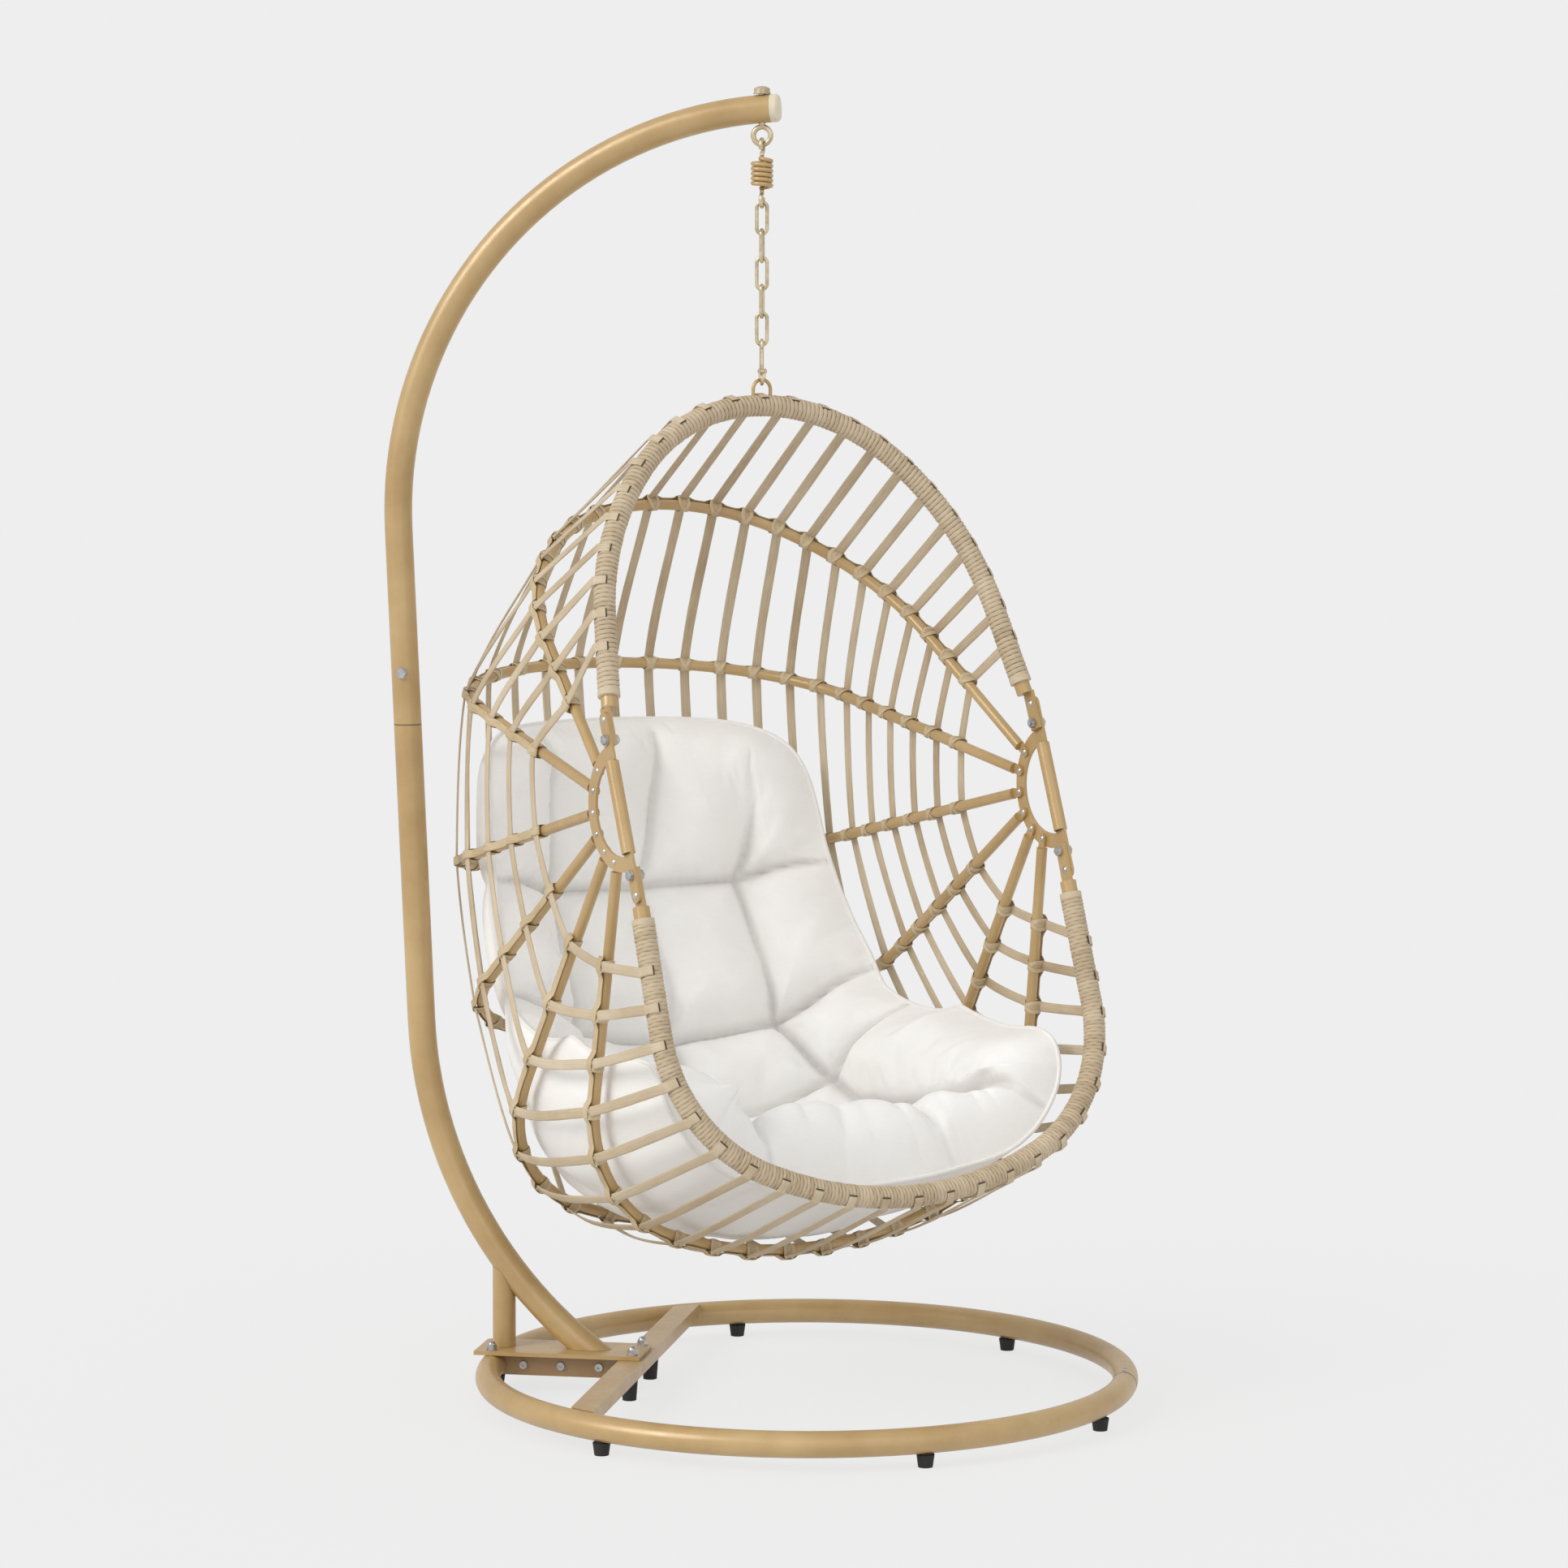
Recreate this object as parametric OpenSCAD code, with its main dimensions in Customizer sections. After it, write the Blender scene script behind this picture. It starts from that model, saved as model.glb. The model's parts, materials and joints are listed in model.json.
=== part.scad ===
// Hanging egg chair: a folding basket of bent tube hoops and woven bands on a curved post stand.
// Millimetres. Origin: centre of the base ring on the floor. +Z up, the post stands on the -X side,
// and -Y is the side the base plate edge faces. The basket hangs turned about the hanging line.

/* [Stand] */
// radius of the base ring, to the middle of its tube
ring_r = 479; // [440:1:520]
// outside diameter of the base ring tube
ring_d = 38; // [34:1:42]
// outside diameter of the post tube
post_d = 42; // [38:1:48]
// wall thickness of the stand tubes
stand_wall = 2; // [1.5:0.5:2.5]
// height of the stand at the top of the arm
stand_h = 1953; // [1900:1:2000]
// bend radius of the arm
arm_r = 600; // [580:1:620]
// distance of the post behind the ring centre, at the top of its straight part
post_back = 627.4; // [610:0.1:640]
// lean of the straight part of the post, in degrees
post_lean = 2.5; // [1.5:0.1:3.5]
// angle at which the foot of the post meets the base plate, in degrees
landing_angle = 52.6; // [49:0.1:56]
// bend radius of the foot of the post
foot_bend_r = 662; // [640:1:690]
// length of the straight part of the post above its joint
joint_drop = 296; // [240:1:360]
// length of the spigots inside the post joint
spigot_l = 130; // [100:1:160]
// distance of the arm end behind the ring centre
arm_end_back = 57; // [52:1:60]
// distance of the crossbar behind the ring centre
crossbar_back = 260; // [230:1:290]
// width of the crossbar
crossbar_w = 38; // [34:1:44]
// height of the crossbar
crossbar_h = 20; // [16:1:25]
// thickness of the base plate
plate_t = 6; // [4:0.5:8]
// width of the base plate, across the stand
plate_w = 100; // [90:1:120]
// height of the rubber feet
foot_h = 19; // [15:1:25]
// largest diameter of the rubber feet
foot_d = 26; // [22:1:30]
// diameter of the brace tube under the post
brace_d = 35; // [30:1:38]

/* [Hanger] */
// distance of the hanging line behind the ring centre
hook_back = 70; // [68:1:74]
// wire diameter of the eye bolt
eye_wire = 8; // [7:0.5:9]
// wire diameter of the spring
spring_wire = 6.6; // [6:0.1:7]
// outside diameter of the spring coil
spring_d = 34; // [30:1:38]
// distance from turn to turn of the spring coil
spring_pitch = 7.2; // [7.1:0.1:8]
// number of full turns of the spring coil
spring_turns = 5; // [4:1:5]
// wire diameter of the chain links
link_wire = 5.5; // [5:0.1:6]
// outside length of a chain link
link_l = 52.3; // [50:0.1:56]
// outside width of a chain link
link_w = 21; // [20:0.5:24]
// wire diameter of the snap hook
snap_wire = 6; // [5.5:0.1:6.5]
// turn of the snap hook about the hanging line, in degrees
snap_turn = 14; // [12:1:16]
// gap between two pieces that rest on each other
seat_gap = 0.3; // [0.2:0.05:0.5]

/* [Basket] */
// turn of the basket about the hanging line, in degrees
basket_yaw = 40.4; // [30:0.1:42]
// half the width of the basket at the hub plates, to the middle of the ribs
hub_half_w = 362; // [350:1:375]
// height of the hanging loop above the middle of the upper rim tube
loop_rise = 38.7; // [34:0.1:46]
// distance of the hub centre in front of the hanging line
hub_front = 232; // [220:1:245]
// lean of the hub bar, in degrees
bar_lean = 21.3; // [18:0.1:24]
// radius of the row of rib rivets
rivet_row_r = 81; // [76:1:86]
// outside diameter of the rib tubes
rib_d = 16; // [14:1:17]
// wall thickness of the rib tubes
rib_wall = 1; // [1:0.1:2]
// outside diameter of the rim tubes
rim_d = 24; // [22:1:26]
// wall thickness of the rim tubes
rim_wall = 2.5; // [1.5:0.1:3]
// outside diameter of the wicker wrap on the rims
wrap_d = 33; // [31:1:36]
// thickness of the hub plates
hub_t = 4; // [3:0.5:5]
// width of the hub plates
hub_plate_w = 22; // [20:1:24]
// distance of the rim bolts from the hub centre
bolt_reach = 100; // [96:1:104]
// distance of the rim rivets from the hub centre
rivet_reach = 130; // [126:1:134]
// length of the upper rim plane, from the bolts to the top
upper_reach = 512.5; // [500:0.5:520]
// width of the woven bands
band_w = 15; // [12:1:17]
// thickness of the woven bands
band_t = 4.5; // [4:0.5:5]

/* [Cushion] */
// thickness of the seat cushion
seat_t = 125; // [100:1:140]
// thickness of the back cushion
back_t = 95; // [80:1:120]
// thickness of the cushion cover
cover_t = 4; // [3:0.5:6]

/* [Hidden] */
$fn = 48;
big_fn = 180;
weld_gap = seat_gap;
weld_l = 2;
weld_up = 0.1;
weld_slit = 0.05;
ring_z = foot_h + ring_d / 2;
ring_top = foot_h + ring_d;
plate_z0 = ring_top + weld_gap;
plate_z1 = plate_z0 + plate_t;
arm_cx = arm_r * cos(post_lean) - post_back;
arm_cz = stand_h - post_d / 2 - arm_r;
tu_x = arm_cx - arm_r * cos(post_lean);
tu_z = arm_cz - arm_r * sin(post_lean);
foot_cz = plate_z1 + foot_bend_r * sin(landing_angle);
tl_z = foot_cz - foot_bend_r * sin(post_lean);
post_straight = (tu_z - tl_z) / cos(post_lean);
tl_x = tu_x + post_straight * sin(post_lean);
foot_cx = tl_x + foot_bend_r * cos(post_lean);
arm_end_a = 90 + asin((arm_end_back + arm_cx) / arm_r);
upper_line = joint_drop;
lower_line = post_straight - upper_line;
foot_end_a = 180 + landing_angle;
landing_x = foot_cx - sqrt(pow(foot_bend_r, 2) - pow(foot_cz - plate_z1, 2));
hook_x = -hook_back;
arm_at_hook = arm_cz + sqrt(pow(arm_r, 2) - pow(hook_x - arm_cx, 2));
crossbar_x = -crossbar_back;
plate_x0 = -ring_r - 24;
plate_x1 = crossbar_x + 13;
plate_bolt_d = 8;
plate_bolt_y = 37;
plate_bolt_x = sqrt(pow(ring_r, 2) - pow(plate_bolt_y, 2));
bolt_clear = 0.6;
brace_x = 12 - ring_r;
beam_h = 33;
beam_w = 50;
beam_top = plate_z0 - weld_gap;
beam_x0 = -ring_r + 12;
beam_x1 = crossbar_x - crossbar_w / 2 - weld_gap;
beam_bolt_xs = [-431, -373, -314];
beam_bolt_z = beam_top - 17;
foot_angles = [-118, -60, -17, 58, 113, 180];
crossfoot_ys = [-60, 95];
spigot_gap = 0.3;

// hanging line, from the arm down
eye_r = 13;
eye_z = arm_at_hook - post_d / 2 - eye_r - eye_wire / 2 - 1.5;
eye_low = eye_z - eye_r;
upper_hook_r = 10;
upper_hook_z = eye_low + eye_wire / 2 + seat_gap + spring_wire / 2 - upper_hook_r;
coil_r = (spring_d - spring_wire) / 2;
coil_top = upper_hook_z - upper_hook_r - 12;
coil_low = coil_top - spring_pitch * spring_turns;
coil_tail = 8.2;
lower_hook_r = 9;
lower_hook_z = coil_low - 13 - lower_hook_r;
lower_hook_low = lower_hook_z - lower_hook_r;
link_r = (link_w - link_wire) / 2;
link_span = link_l - link_wire;
link_step = link_span - link_wire - seat_gap;
link_top = lower_hook_low + (spring_wire + link_wire) / 2 + seat_gap;
link_end = link_top - 4 * link_step - link_span;
snap_top = link_end + (link_wire + snap_wire) / 2 + seat_gap;
snap_span = 64;
snap_top_r = 7;
snap_low_r = 10;
snap_low = snap_top - snap_span;
loop_wire = 5.5;
loop_gap = seat_gap + 0.2;
loop_top = snap_low + (snap_wire + loop_wire) / 2 + loop_gap;
loop_r = 14.75;
pivot_y = -9.6;
pivot_z = snap_low + 18.5;
gate_d = 5;
pin_d = 3;
pin_clear = 0.05;

// hub and hoops, in the basket frame: x to the side, y to the back
plate_in = hub_half_w + 2 + seat_gap;
plate_out = plate_in + hub_t;
rivet_angles = [for (k = [0:5]) 33 + 22.8 * k];
rib_angles = [37, 11.5, -12.5, -34.6, -57, -81.3];
rib_splay = [-7, -5, -4, -0.5, 1.4, 1.4];
rib_leg = [280, 436, 471, 428, 421, 350];
rib_corner_r = [415, 283, 181, 196, 290, 226];
rib_corner_a = [40, 67, 69, 69, 69, 71.5];
weave_first = [0.093, 0.12, 0.111, 0.0925, 0.086, 0.088];
weave_last = [0.893, 0.91, 0.909, 0.9075, 0.921, 0.923];
weave_drift = [0.35, 0.4, 0.5, 0.49, 0.56, 0.14];
rim_w = hub_half_w - 1;
up_splay = -8.7;
up_corner_r = 435;
up_corner_a = 35;
// the leg length that brings the crown of the upper rim to upper_reach
up_q = (1 - sin(up_corner_a - up_splay)) / cos(up_corner_a - up_splay);
up_side = rim_w - up_corner_r * (cos(up_splay) - cos(up_splay - up_corner_a));
up_rise = up_corner_r * (sin(up_splay) - sin(up_splay - up_corner_a));
up_leg = (upper_reach - up_rise - up_q * up_side) / (cos(up_splay) + up_q * sin(up_splay));
low_splay = 0.6;
low_leg = 230;
low_corner_r = 228;
low_corner_a = 66;
low_angle = -109.2;
wrap_start = 65;
bar_up = [sin(bar_lean), cos(bar_lean)];
up_angle = acos((hub_front - bolt_reach * bar_up[0]) / upper_reach);
rim_top_z = loop_top - loop_rise;
hub_z = rim_top_z - upper_reach * sin(up_angle) - bolt_reach * bar_up[1];
up_o = [-hub_front + bolt_reach * bar_up[0], hub_z + bolt_reach * bar_up[1]];
low_o = [-hub_front - bolt_reach * bar_up[0], hub_z - bolt_reach * bar_up[1]];
hub_arm_y = sqrt(pow(rivet_row_r - hub_plate_w / 2, 2) - pow(hub_plate_w / 2, 2)) - 0.8;
strand_gap = 0.97;
strand_n = 23;

// ---------- helpers ----------
module ring2d(d, wall) {
    difference() {
        circle(d = d);
        circle(d = d - 2 * wall);
    }
}

// outside diameter of the spigot that slides into a tube of diameter d
function spigot_d(d) = d - 2 * stand_wall - 2 * spigot_gap;

// a piece of bent tube about the z axis: the profile is swept from angle a0 to a1
module bend(r, a0, a1, fn = big_fn) {
    rotate([0, 0, a0])
        rotate_extrude(angle = a1 - a0, $fn = fn)
            translate([r, 0])
                children();
}

// a straight piece along +Y from 0 to l, with the same profile as bend
module run(l) {
    translate([0, l, 0])
        rotate([90, 0, 0])
            linear_extrude(height = l)
                children();
}

// turns a flat bend in XY up into XZ
module upright() {
    rotate([90, 0, 0])
        children();
}

// a weld collar across a joint of a tube that runs along +Y
module collar(d, wall) {
    translate([0, -weld_l / 2, 0])
        run(weld_l)
            ring2d(d + 2 * weld_up, wall + 2 * weld_up);
}

module hanging_line(z = 0) {
    translate([hook_x, 0, z])
        children();
}

module hex(af, h) {
    cylinder(h = h, d = af / cos(30), $fn = 6);
}

module dome_nut(af, h) {
    hex(af, h * 0.55);
    translate([0, 0, h * 0.55])
        intersection() {
            translate([0, 0, -af * 0.06])
                sphere(d = af * 0.96);
            cylinder(h = h, d = af * 2);
        }
}

module rod(p, q, d) {
    v = q - p;
    l = norm(v);
    translate(p)
        rotate([0, acos(v[2] / l), atan2(v[1], v[0])])
            cylinder(h = l, d = d);
}

// ---------- stand ----------
module ring_half(a0, a1) {
    translate([0, 0, ring_z])
        bend(ring_r, a0, a1)
            ring2d(ring_d, stand_wall);
}

module plate_bolt_spots() {
    for (y = [-plate_bolt_y, plate_bolt_y]) {
        translate([-plate_bolt_x, y, 0])
            children();
        translate([crossbar_x, y, 0])
            children();
    }
}

module plate_bolt_holes() {
    plate_bolt_spots()
        cylinder(h = plate_z1 + 5, d = plate_bolt_d + bolt_clear);
}

module screw_spots() {
    for (a = [1.6, 3.4])
        rotate([0, 0, a])
            translate([ring_r, 0, 0])
                children();
}

module base_ring_rear() {
    color([0.78, 0.67, 0.46])
        difference() {
            ring_half(0.05, 179.95);
            plate_bolt_holes();
            screw_spots()
                translate([0, 0, ring_z])
                    cylinder(h = 40, d = 4.4);
        }
}

module ring_spigot(a0, a1) {
    translate([0, 0, ring_z])
        bend(ring_r, a0, a1)
            ring2d(spigot_d(ring_d), stand_wall);
}

module ring_shoulder(a0, a1) {
    translate([0, 0, ring_z])
        bend(ring_r, a0, a1)
            ring2d(ring_d - stand_wall, stand_wall + spigot_gap);
}

module base_ring_front() {
    color([0.78, 0.67, 0.46])
        difference() {
            union() {
                ring_half(-180, 0);
                ring_shoulder(-1.2, -0.5);
                ring_shoulder(-179.5, -178.8);
                ring_spigot(-1.8, 7);
                ring_spigot(-187, -178.2);
            }
            plate_bolt_holes();
            screw_spots()
                translate([0, 0, ring_z])
                    cylinder(h = 40, d = 3.4);
        }
}

module ring_screws() {
    color([0.8, 0.8, 0.8])
        screw_spots() {
            translate([0, 0, ring_top - 6])
                cylinder(h = 6.2, d = 3);
            translate([0, 0, ring_top + 0.1])
                cylinder(h = 1.6, d = 7);
        }
}

module crossbar() {
    half = sqrt(pow(ring_r, 2) - pow(crossbar_back, 2));
    color([0.78, 0.67, 0.46])
        difference() {
            translate([crossbar_x - crossbar_w / 2, -half, ring_top - crossbar_h])
                cube([crossbar_w, 2 * half, crossbar_h]);
            translate([crossbar_x - crossbar_w / 2 + stand_wall, -half - 1, ring_top - crossbar_h + stand_wall])
                cube([crossbar_w - 2 * stand_wall, 2 * half + 2, crossbar_h - 2 * stand_wall]);
            translate([0, 0, ring_z])
                rotate_extrude($fn = big_fn)
                    translate([ring_r, 0])
                        circle(d = ring_d + 2 * weld_gap);
            difference() {
                cylinder(h = 100, r = ring_r + 60);
                translate([0, 0, -1])
                    cylinder(h = 102, r = ring_r - 10);
            }
            plate_bolt_holes();
        }
}

module base_beam() {
    color([0.55, 0.45, 0.3])
        difference() {
            translate([beam_x0, -beam_w / 2, beam_top - beam_h])
                cube([beam_x1 - beam_x0, beam_w, beam_h]);
            translate([beam_x0 - 1, -beam_w / 2 + 2.5, beam_top - beam_h - 1])
                cube([beam_x1 - beam_x0 - 2, beam_w - 5, beam_h - 1.5]);
            translate([0, 0, ring_z])
                rotate_extrude($fn = big_fn)
                    translate([ring_r, 0])
                        circle(d = ring_d + 2 * weld_gap);
            for (x = beam_bolt_xs)
                translate([x, beam_w / 2 + 5, beam_bolt_z])
                    rotate([90, 0, 0])
                        cylinder(h = beam_w + 10, d = 6.4);
        }
}

module beam_bolts() {
    color([0.75, 0.75, 0.75])
        for (x = beam_bolt_xs)
            translate([x, -beam_w / 2 - 0.2, beam_bolt_z])
                rotate([90, 0, 0])
                    difference() {
                        union() {
                            cylinder(h = 4.2, d = 12);
                            translate([0, 0, -beam_w - 8])
                                cylinder(h = beam_w + 8, d = 6);
                            translate([0, 0, -beam_w - 6.4])
                                hex(10, 6);
                        }
                        translate([0, 0, 1.8])
                            cylinder(h = 5, d = 5, $fn = 6);
                    }
}

module base_plate() {
    color([0.8, 0.69, 0.48])
        difference() {
            union() {
                translate([plate_x0, -plate_w / 2, plate_z0])
                    cube([plate_x1 - plate_x0, plate_w - 12, plate_t]);
                translate([plate_x0 + 12, -plate_w / 2 + 1, plate_z0])
                    cube([plate_x1 - plate_x0 - 24, plate_w - 1, plate_t]);
                for (x = [plate_x0 + 12, plate_x1 - 12])
                    translate([x, plate_w / 2 - 12, plate_z0])
                        cylinder(h = plate_t, r = 12);
            }
            plate_bolt_holes();
        }
}

module plate_bolts() {
    color([0.8, 0.8, 0.8])
        plate_bolt_spots() {
            translate([0, 0, plate_z1 - 12])
                cylinder(h = 20, d = plate_bolt_d);
            translate([0, 0, plate_z1 + 0.2])
                cylinder(h = 1.6, d = 17);
            translate([0, 0, plate_z1 + 1.8])
                dome_nut(13, 12);
        }
    color([0.8, 0.8, 0.8])
        for (y = [-plate_bolt_y, plate_bolt_y]) {
            translate([-plate_bolt_x, y, foot_h - 5.2])
                cylinder(h = 5, d = 15);
            translate([-plate_bolt_x, y, foot_h - 1])
                cylinder(h = plate_z1 - foot_h - 8, d = plate_bolt_d);
            translate([crossbar_x, y, ring_top - crossbar_h - 5.2])
                cylinder(h = 5, d = 15);
            translate([crossbar_x, y, ring_top - crossbar_h - 1])
                cylinder(h = crossbar_h - 4, d = plate_bolt_d);
        }
}

module foot(top) {
    difference() {
        union() {
            cylinder(h = top - 1, d1 = foot_d - 5, d2 = foot_d);
            translate([0, 0, top - 1.01])
                cylinder(h = 4, d = foot_d - 8);
        }
        translate([0, 0, -1])
            cylinder(h = 6, d = 9);
    }
}

module rubber_feet() {
    color([0.07, 0.07, 0.07]) {
        for (a = foot_angles)
            difference() {
                rotate([0, 0, a])
                    translate([ring_r, 0, 0])
                        foot(foot_h);
                translate([0, 0, ring_z])
                    rotate_extrude($fn = big_fn)
                        translate([ring_r, 0])
                            circle(d = ring_d + 2 * weld_gap);
            }
        for (y = crossfoot_ys)
            translate([crossbar_x, y, 0])
                foot(ring_top - crossbar_h - weld_gap - 3);
    }
}

module post_tube(c, r, a0, a1) {
    translate([c[0], 0, c[1]])
        upright()
            bend(r, a0, a1)
                ring2d(post_d, stand_wall);
}

// a straight run that starts on the arm bend at its lower end, from s0 to s1 along the post
module post_run(s0, s1) {
    translate([arm_cx, 0, arm_cz])
        upright()
            rotate([0, 0, 180 + post_lean])
                translate([arm_r, s0, 0])
                    run(s1 - s0)
                        children();
}

module post_bolt_hole(d) {
    translate([arm_cx, 0, arm_cz])
        upright()
            rotate([0, 0, 180 + post_lean])
                translate([arm_r, upper_line - 78, -60])
                    cylinder(h = 120, d = d);
}

module lower_post() {
    color([0.78, 0.67, 0.46])
        difference() {
            union() {
                intersection() {
                    post_tube([foot_cx, foot_cz], foot_bend_r, 180 + post_lean + 0.01, foot_end_a + 6);
                    translate([-2 * post_back, -2 * post_d, plate_z1 + weld_gap])
                        cube([2 * post_back, 4 * post_d, stand_h]);
                }
                post_run(post_straight - weld_l / 2, post_straight + weld_l / 2)
                    ring2d(post_d + 2 * weld_up, stand_wall + 2 * weld_up);
                post_run(upper_line, post_straight - weld_slit)
                    ring2d(post_d, stand_wall);
                post_run(upper_line + 4, upper_line + 10)
                    ring2d(post_d - stand_wall, stand_wall + spigot_gap);
                post_run(upper_line - spigot_l, upper_line + 15)
                    ring2d(spigot_d(post_d), stand_wall);
            }
            post_bolt_hole(8.6);
        }
}

module post_brace() {
    top = foot_cz - sqrt(pow(foot_bend_r, 2) - pow(foot_cx - brace_x, 2));
    color([0.78, 0.67, 0.46])
        difference() {
            translate([brace_x, 0, plate_z1 + weld_gap])
                cylinder(h = top - plate_z1, d = brace_d);
            translate([brace_x, 0, plate_z1 - 1])
                cylinder(h = top, d = brace_d - 2 * stand_wall);
            translate([foot_cx, 0, foot_cz])
                upright()
                    rotate_extrude($fn = big_fn)
                        translate([foot_bend_r, 0])
                            circle(d = post_d + 2 * weld_gap);
        }
}

module eye_bolt_hole() {
    hanging_line(arm_at_hook - 60)
        cylinder(h = 120, d = 10.6);
}

module upper_post() {
    color([0.78, 0.67, 0.46])
        difference() {
            union() {
                post_tube([arm_cx, arm_cz], arm_r, arm_end_a, 180 + post_lean - 0.01);
                post_run(-weld_l / 2, weld_l / 2)
                    ring2d(post_d + 2 * weld_up, stand_wall + 2 * weld_up);
                post_run(weld_slit, upper_line - 0.3)
                    ring2d(post_d, stand_wall);
            }
            post_bolt_hole(8.6);
            eye_bolt_hole();
        }
}

module post_bolt() {
    color([0.8, 0.8, 0.8])
        translate([arm_cx, 0, arm_cz])
            upright()
                rotate([0, 0, 180 + post_lean])
                    translate([arm_r, upper_line - 78, 0]) {
                        translate([0, 0, -post_d / 2 - 10])
                            cylinder(h = post_d + 14, d = 8);
                        translate([0, 0, post_d / 2 + 0.2])
                            cylinder(h = 1.6, d = 17);
                        translate([0, 0, post_d / 2 + 1.8])
                            hex(13, 5.5);
                        translate([0, 0, -post_d / 2 - 6.7])
                            hex(13, 6.5);
                    }
}

module arm_end_cap() {
    color([0.93, 0.92, 0.9])
        translate([arm_cx, 0, arm_cz])
            upright()
                rotate([0, 0, arm_end_a])
                    translate([arm_r, 0, 0])
                        rotate([90, 0, 0])
                            rotate_extrude()
                                polygon([[0, -5], [18.6, -5], [18.6, 0.3], [20.8, 0.3], [20.8, 10], [18, 13.5], [0, 14.5]]);
}

module eye_bolt() {
    color([0.8, 0.8, 0.8])
        hanging_line() {
            translate([0, 0, eye_z])
                upright()
                    rotate_extrude($fn = 64)
                        translate([eye_r, 0])
                            circle(d = eye_wire);
            translate([0, 0, eye_z + eye_r])
                cylinder(h = arm_at_hook + post_d / 2 + 7 - eye_z - eye_r, d = 10);
        }
}

module eye_bolt_nut() {
    top = arm_at_hook + post_d / 2;
    color([0.8, 0.8, 0.8])
        hanging_line()
            difference() {
                union() {
                    translate([0, 0, top + 0.9])
                        cylinder(h = 2, d = 26);
                    translate([0, 0, top + 2.9])
                        intersection() {
                            translate([0, 0, -9])
                                sphere(d = 38);
                            cylinder(h = 12, d = 24);
                        }
                }
                translate([0, 0, top - 10])
                    cylinder(h = 18, d = 10.4);
            }
}

// ---------- hanging gear ----------
// wire path in the plane across the stand (YZ) on the hanging line
module across() {
    rotate([90, 0, 90])
        children();
}

module spring_upper_hook() {
    color([0.76, 0.76, 0.74])
        hanging_line() {
            translate([0, 0, upper_hook_z])
                across()
                    bend(upper_hook_r, -90, 205, 64)
                        circle(d = spring_wire);
            translate([0, 0, coil_top + coil_tail + seat_gap])
                cylinder(h = upper_hook_z - upper_hook_r - coil_top - coil_tail - seat_gap, d = spring_wire);
        }
}

function helix_centre(t) = [coil_r * cos(360 * t), coil_r * sin(360 * t),
    coil_top - spring_pitch * t];
coil_rings = 8 * spring_turns;
// places where the wire winds in to the hanging line: [share of the coil radius, angle, height]
coil_lead = [[0.88, 25, 0.8], [0.66, 60, 2.2], [0.3, 110, 3.6]];
function lead_point(q, z, s) = [coil_r * q[0] * cos(q[1]), s * coil_r * q[0] * sin(q[1]), z + s * -q[2]];
coil_path = concat(
    [[0, 0, coil_top + coil_tail], [0, 0, coil_top + 5.2]],
    [for (k = [2:-1:0]) lead_point(coil_lead[k], coil_top, -1)],
    [for (i = [0:coil_rings]) helix_centre(i / 8)],
    [for (k = [0:2]) lead_point(coil_lead[k], coil_low, 1)],
    [[0, 0, coil_low - 5.2], [0, 0, coil_low - coil_tail]]);

function unit(v) = v / norm(v);
function path_dir(p, i) = unit(p[min(i + 1, len(p) - 1)] - p[max(i - 1, 0)]);
// section of a round wire with 6 sides at point i of path p
function wire_ring(p, i, r, ref = [0, 0, 1]) =
    let (d = path_dir(p, i), a = unit(cross(d, ref)), b = cross(a, d))
    [for (k = [0:5]) p[i] + r * (a * cos(60 * k + 30) + b * sin(60 * k + 30))];

// closed tube of n rings of m points each, with triangle faces
module skin(rings, m) {
    n = len(rings);
    pts = [for (r = rings) for (q = r) q];
    side = [for (i = [0:n - 2]) for (k = [0:m - 1])
        let (a = i * m + k, b = i * m + (k + 1) % m, c = a + m, d = b + m) each [[a, b, d], [a, d, c]]];
    cap0 = [for (k = [1:m - 2]) [0, k + 1, k]];
    z = (n - 1) * m;
    cap1 = [for (k = [1:m - 2]) [z, z + k, z + k + 1]];
    polyhedron(points = pts, faces = concat(side, cap0, cap1), convexity = 4);
}

module spring_coil() {
    color([0.76, 0.76, 0.74])
        hanging_line()
            skin([for (i = [0:len(coil_path) - 1])
                wire_ring(coil_path, i, spring_wire / 2 * 1.02, [0.001, 0.0013, 1])], 6);
}

// least distance between turns, measured on the points of the coil
coil_gap = min([for (i = [2:coil_rings]) for (j = [i + 6:coil_rings + 8])
    norm(coil_path[i] - coil_path[j])]) - spring_wire * 1.02;
echo(coil_gap = coil_gap);

module spring_lower_hook() {
    color([0.76, 0.76, 0.74])
        hanging_line() {
            translate([0, 0, lower_hook_z])
                across()
                    bend(lower_hook_r, 90, 385, 64)
                        circle(d = spring_wire);
            translate([0, 0, lower_hook_z + lower_hook_r])
                cylinder(h = coil_low - coil_tail - seat_gap - lower_hook_z - lower_hook_r, d = spring_wire);
        }
}

// an oval link in XZ whose top wire centre is at z = 0
module link() {
    translate([0, 0, -link_r])
        upright()
            bend(link_r, 0, 180, 64)
                circle(d = link_wire);
    translate([0, 0, -link_span + link_r])
        upright()
            bend(link_r, 180, 360, 64)
                circle(d = link_wire);
    for (a = [0, 180])
        translate([0, 0, -link_span + link_r])
            upright()
                rotate([0, a, 0])
                    translate([link_r, 0, 0])
                        run(link_span - 2 * link_r)
                            circle(d = link_wire);
}

module chain_link(i) {
    color([0.76, 0.76, 0.74])
        hanging_line(link_top - i * link_step)
            rotate([0, 0, 90 * (i % 2)])
                link();
}

module chain_link_1() {
    chain_link(0);
}

module chain_link_2() {
    chain_link(1);
}

module chain_link_3() {
    chain_link(2);
}

module chain_link_4() {
    chain_link(3);
}

module chain_link_5() {
    chain_link(4);
}

module snap_line() {
    hanging_line()
        rotate([0, 0, snap_turn])
            children();
}

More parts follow.
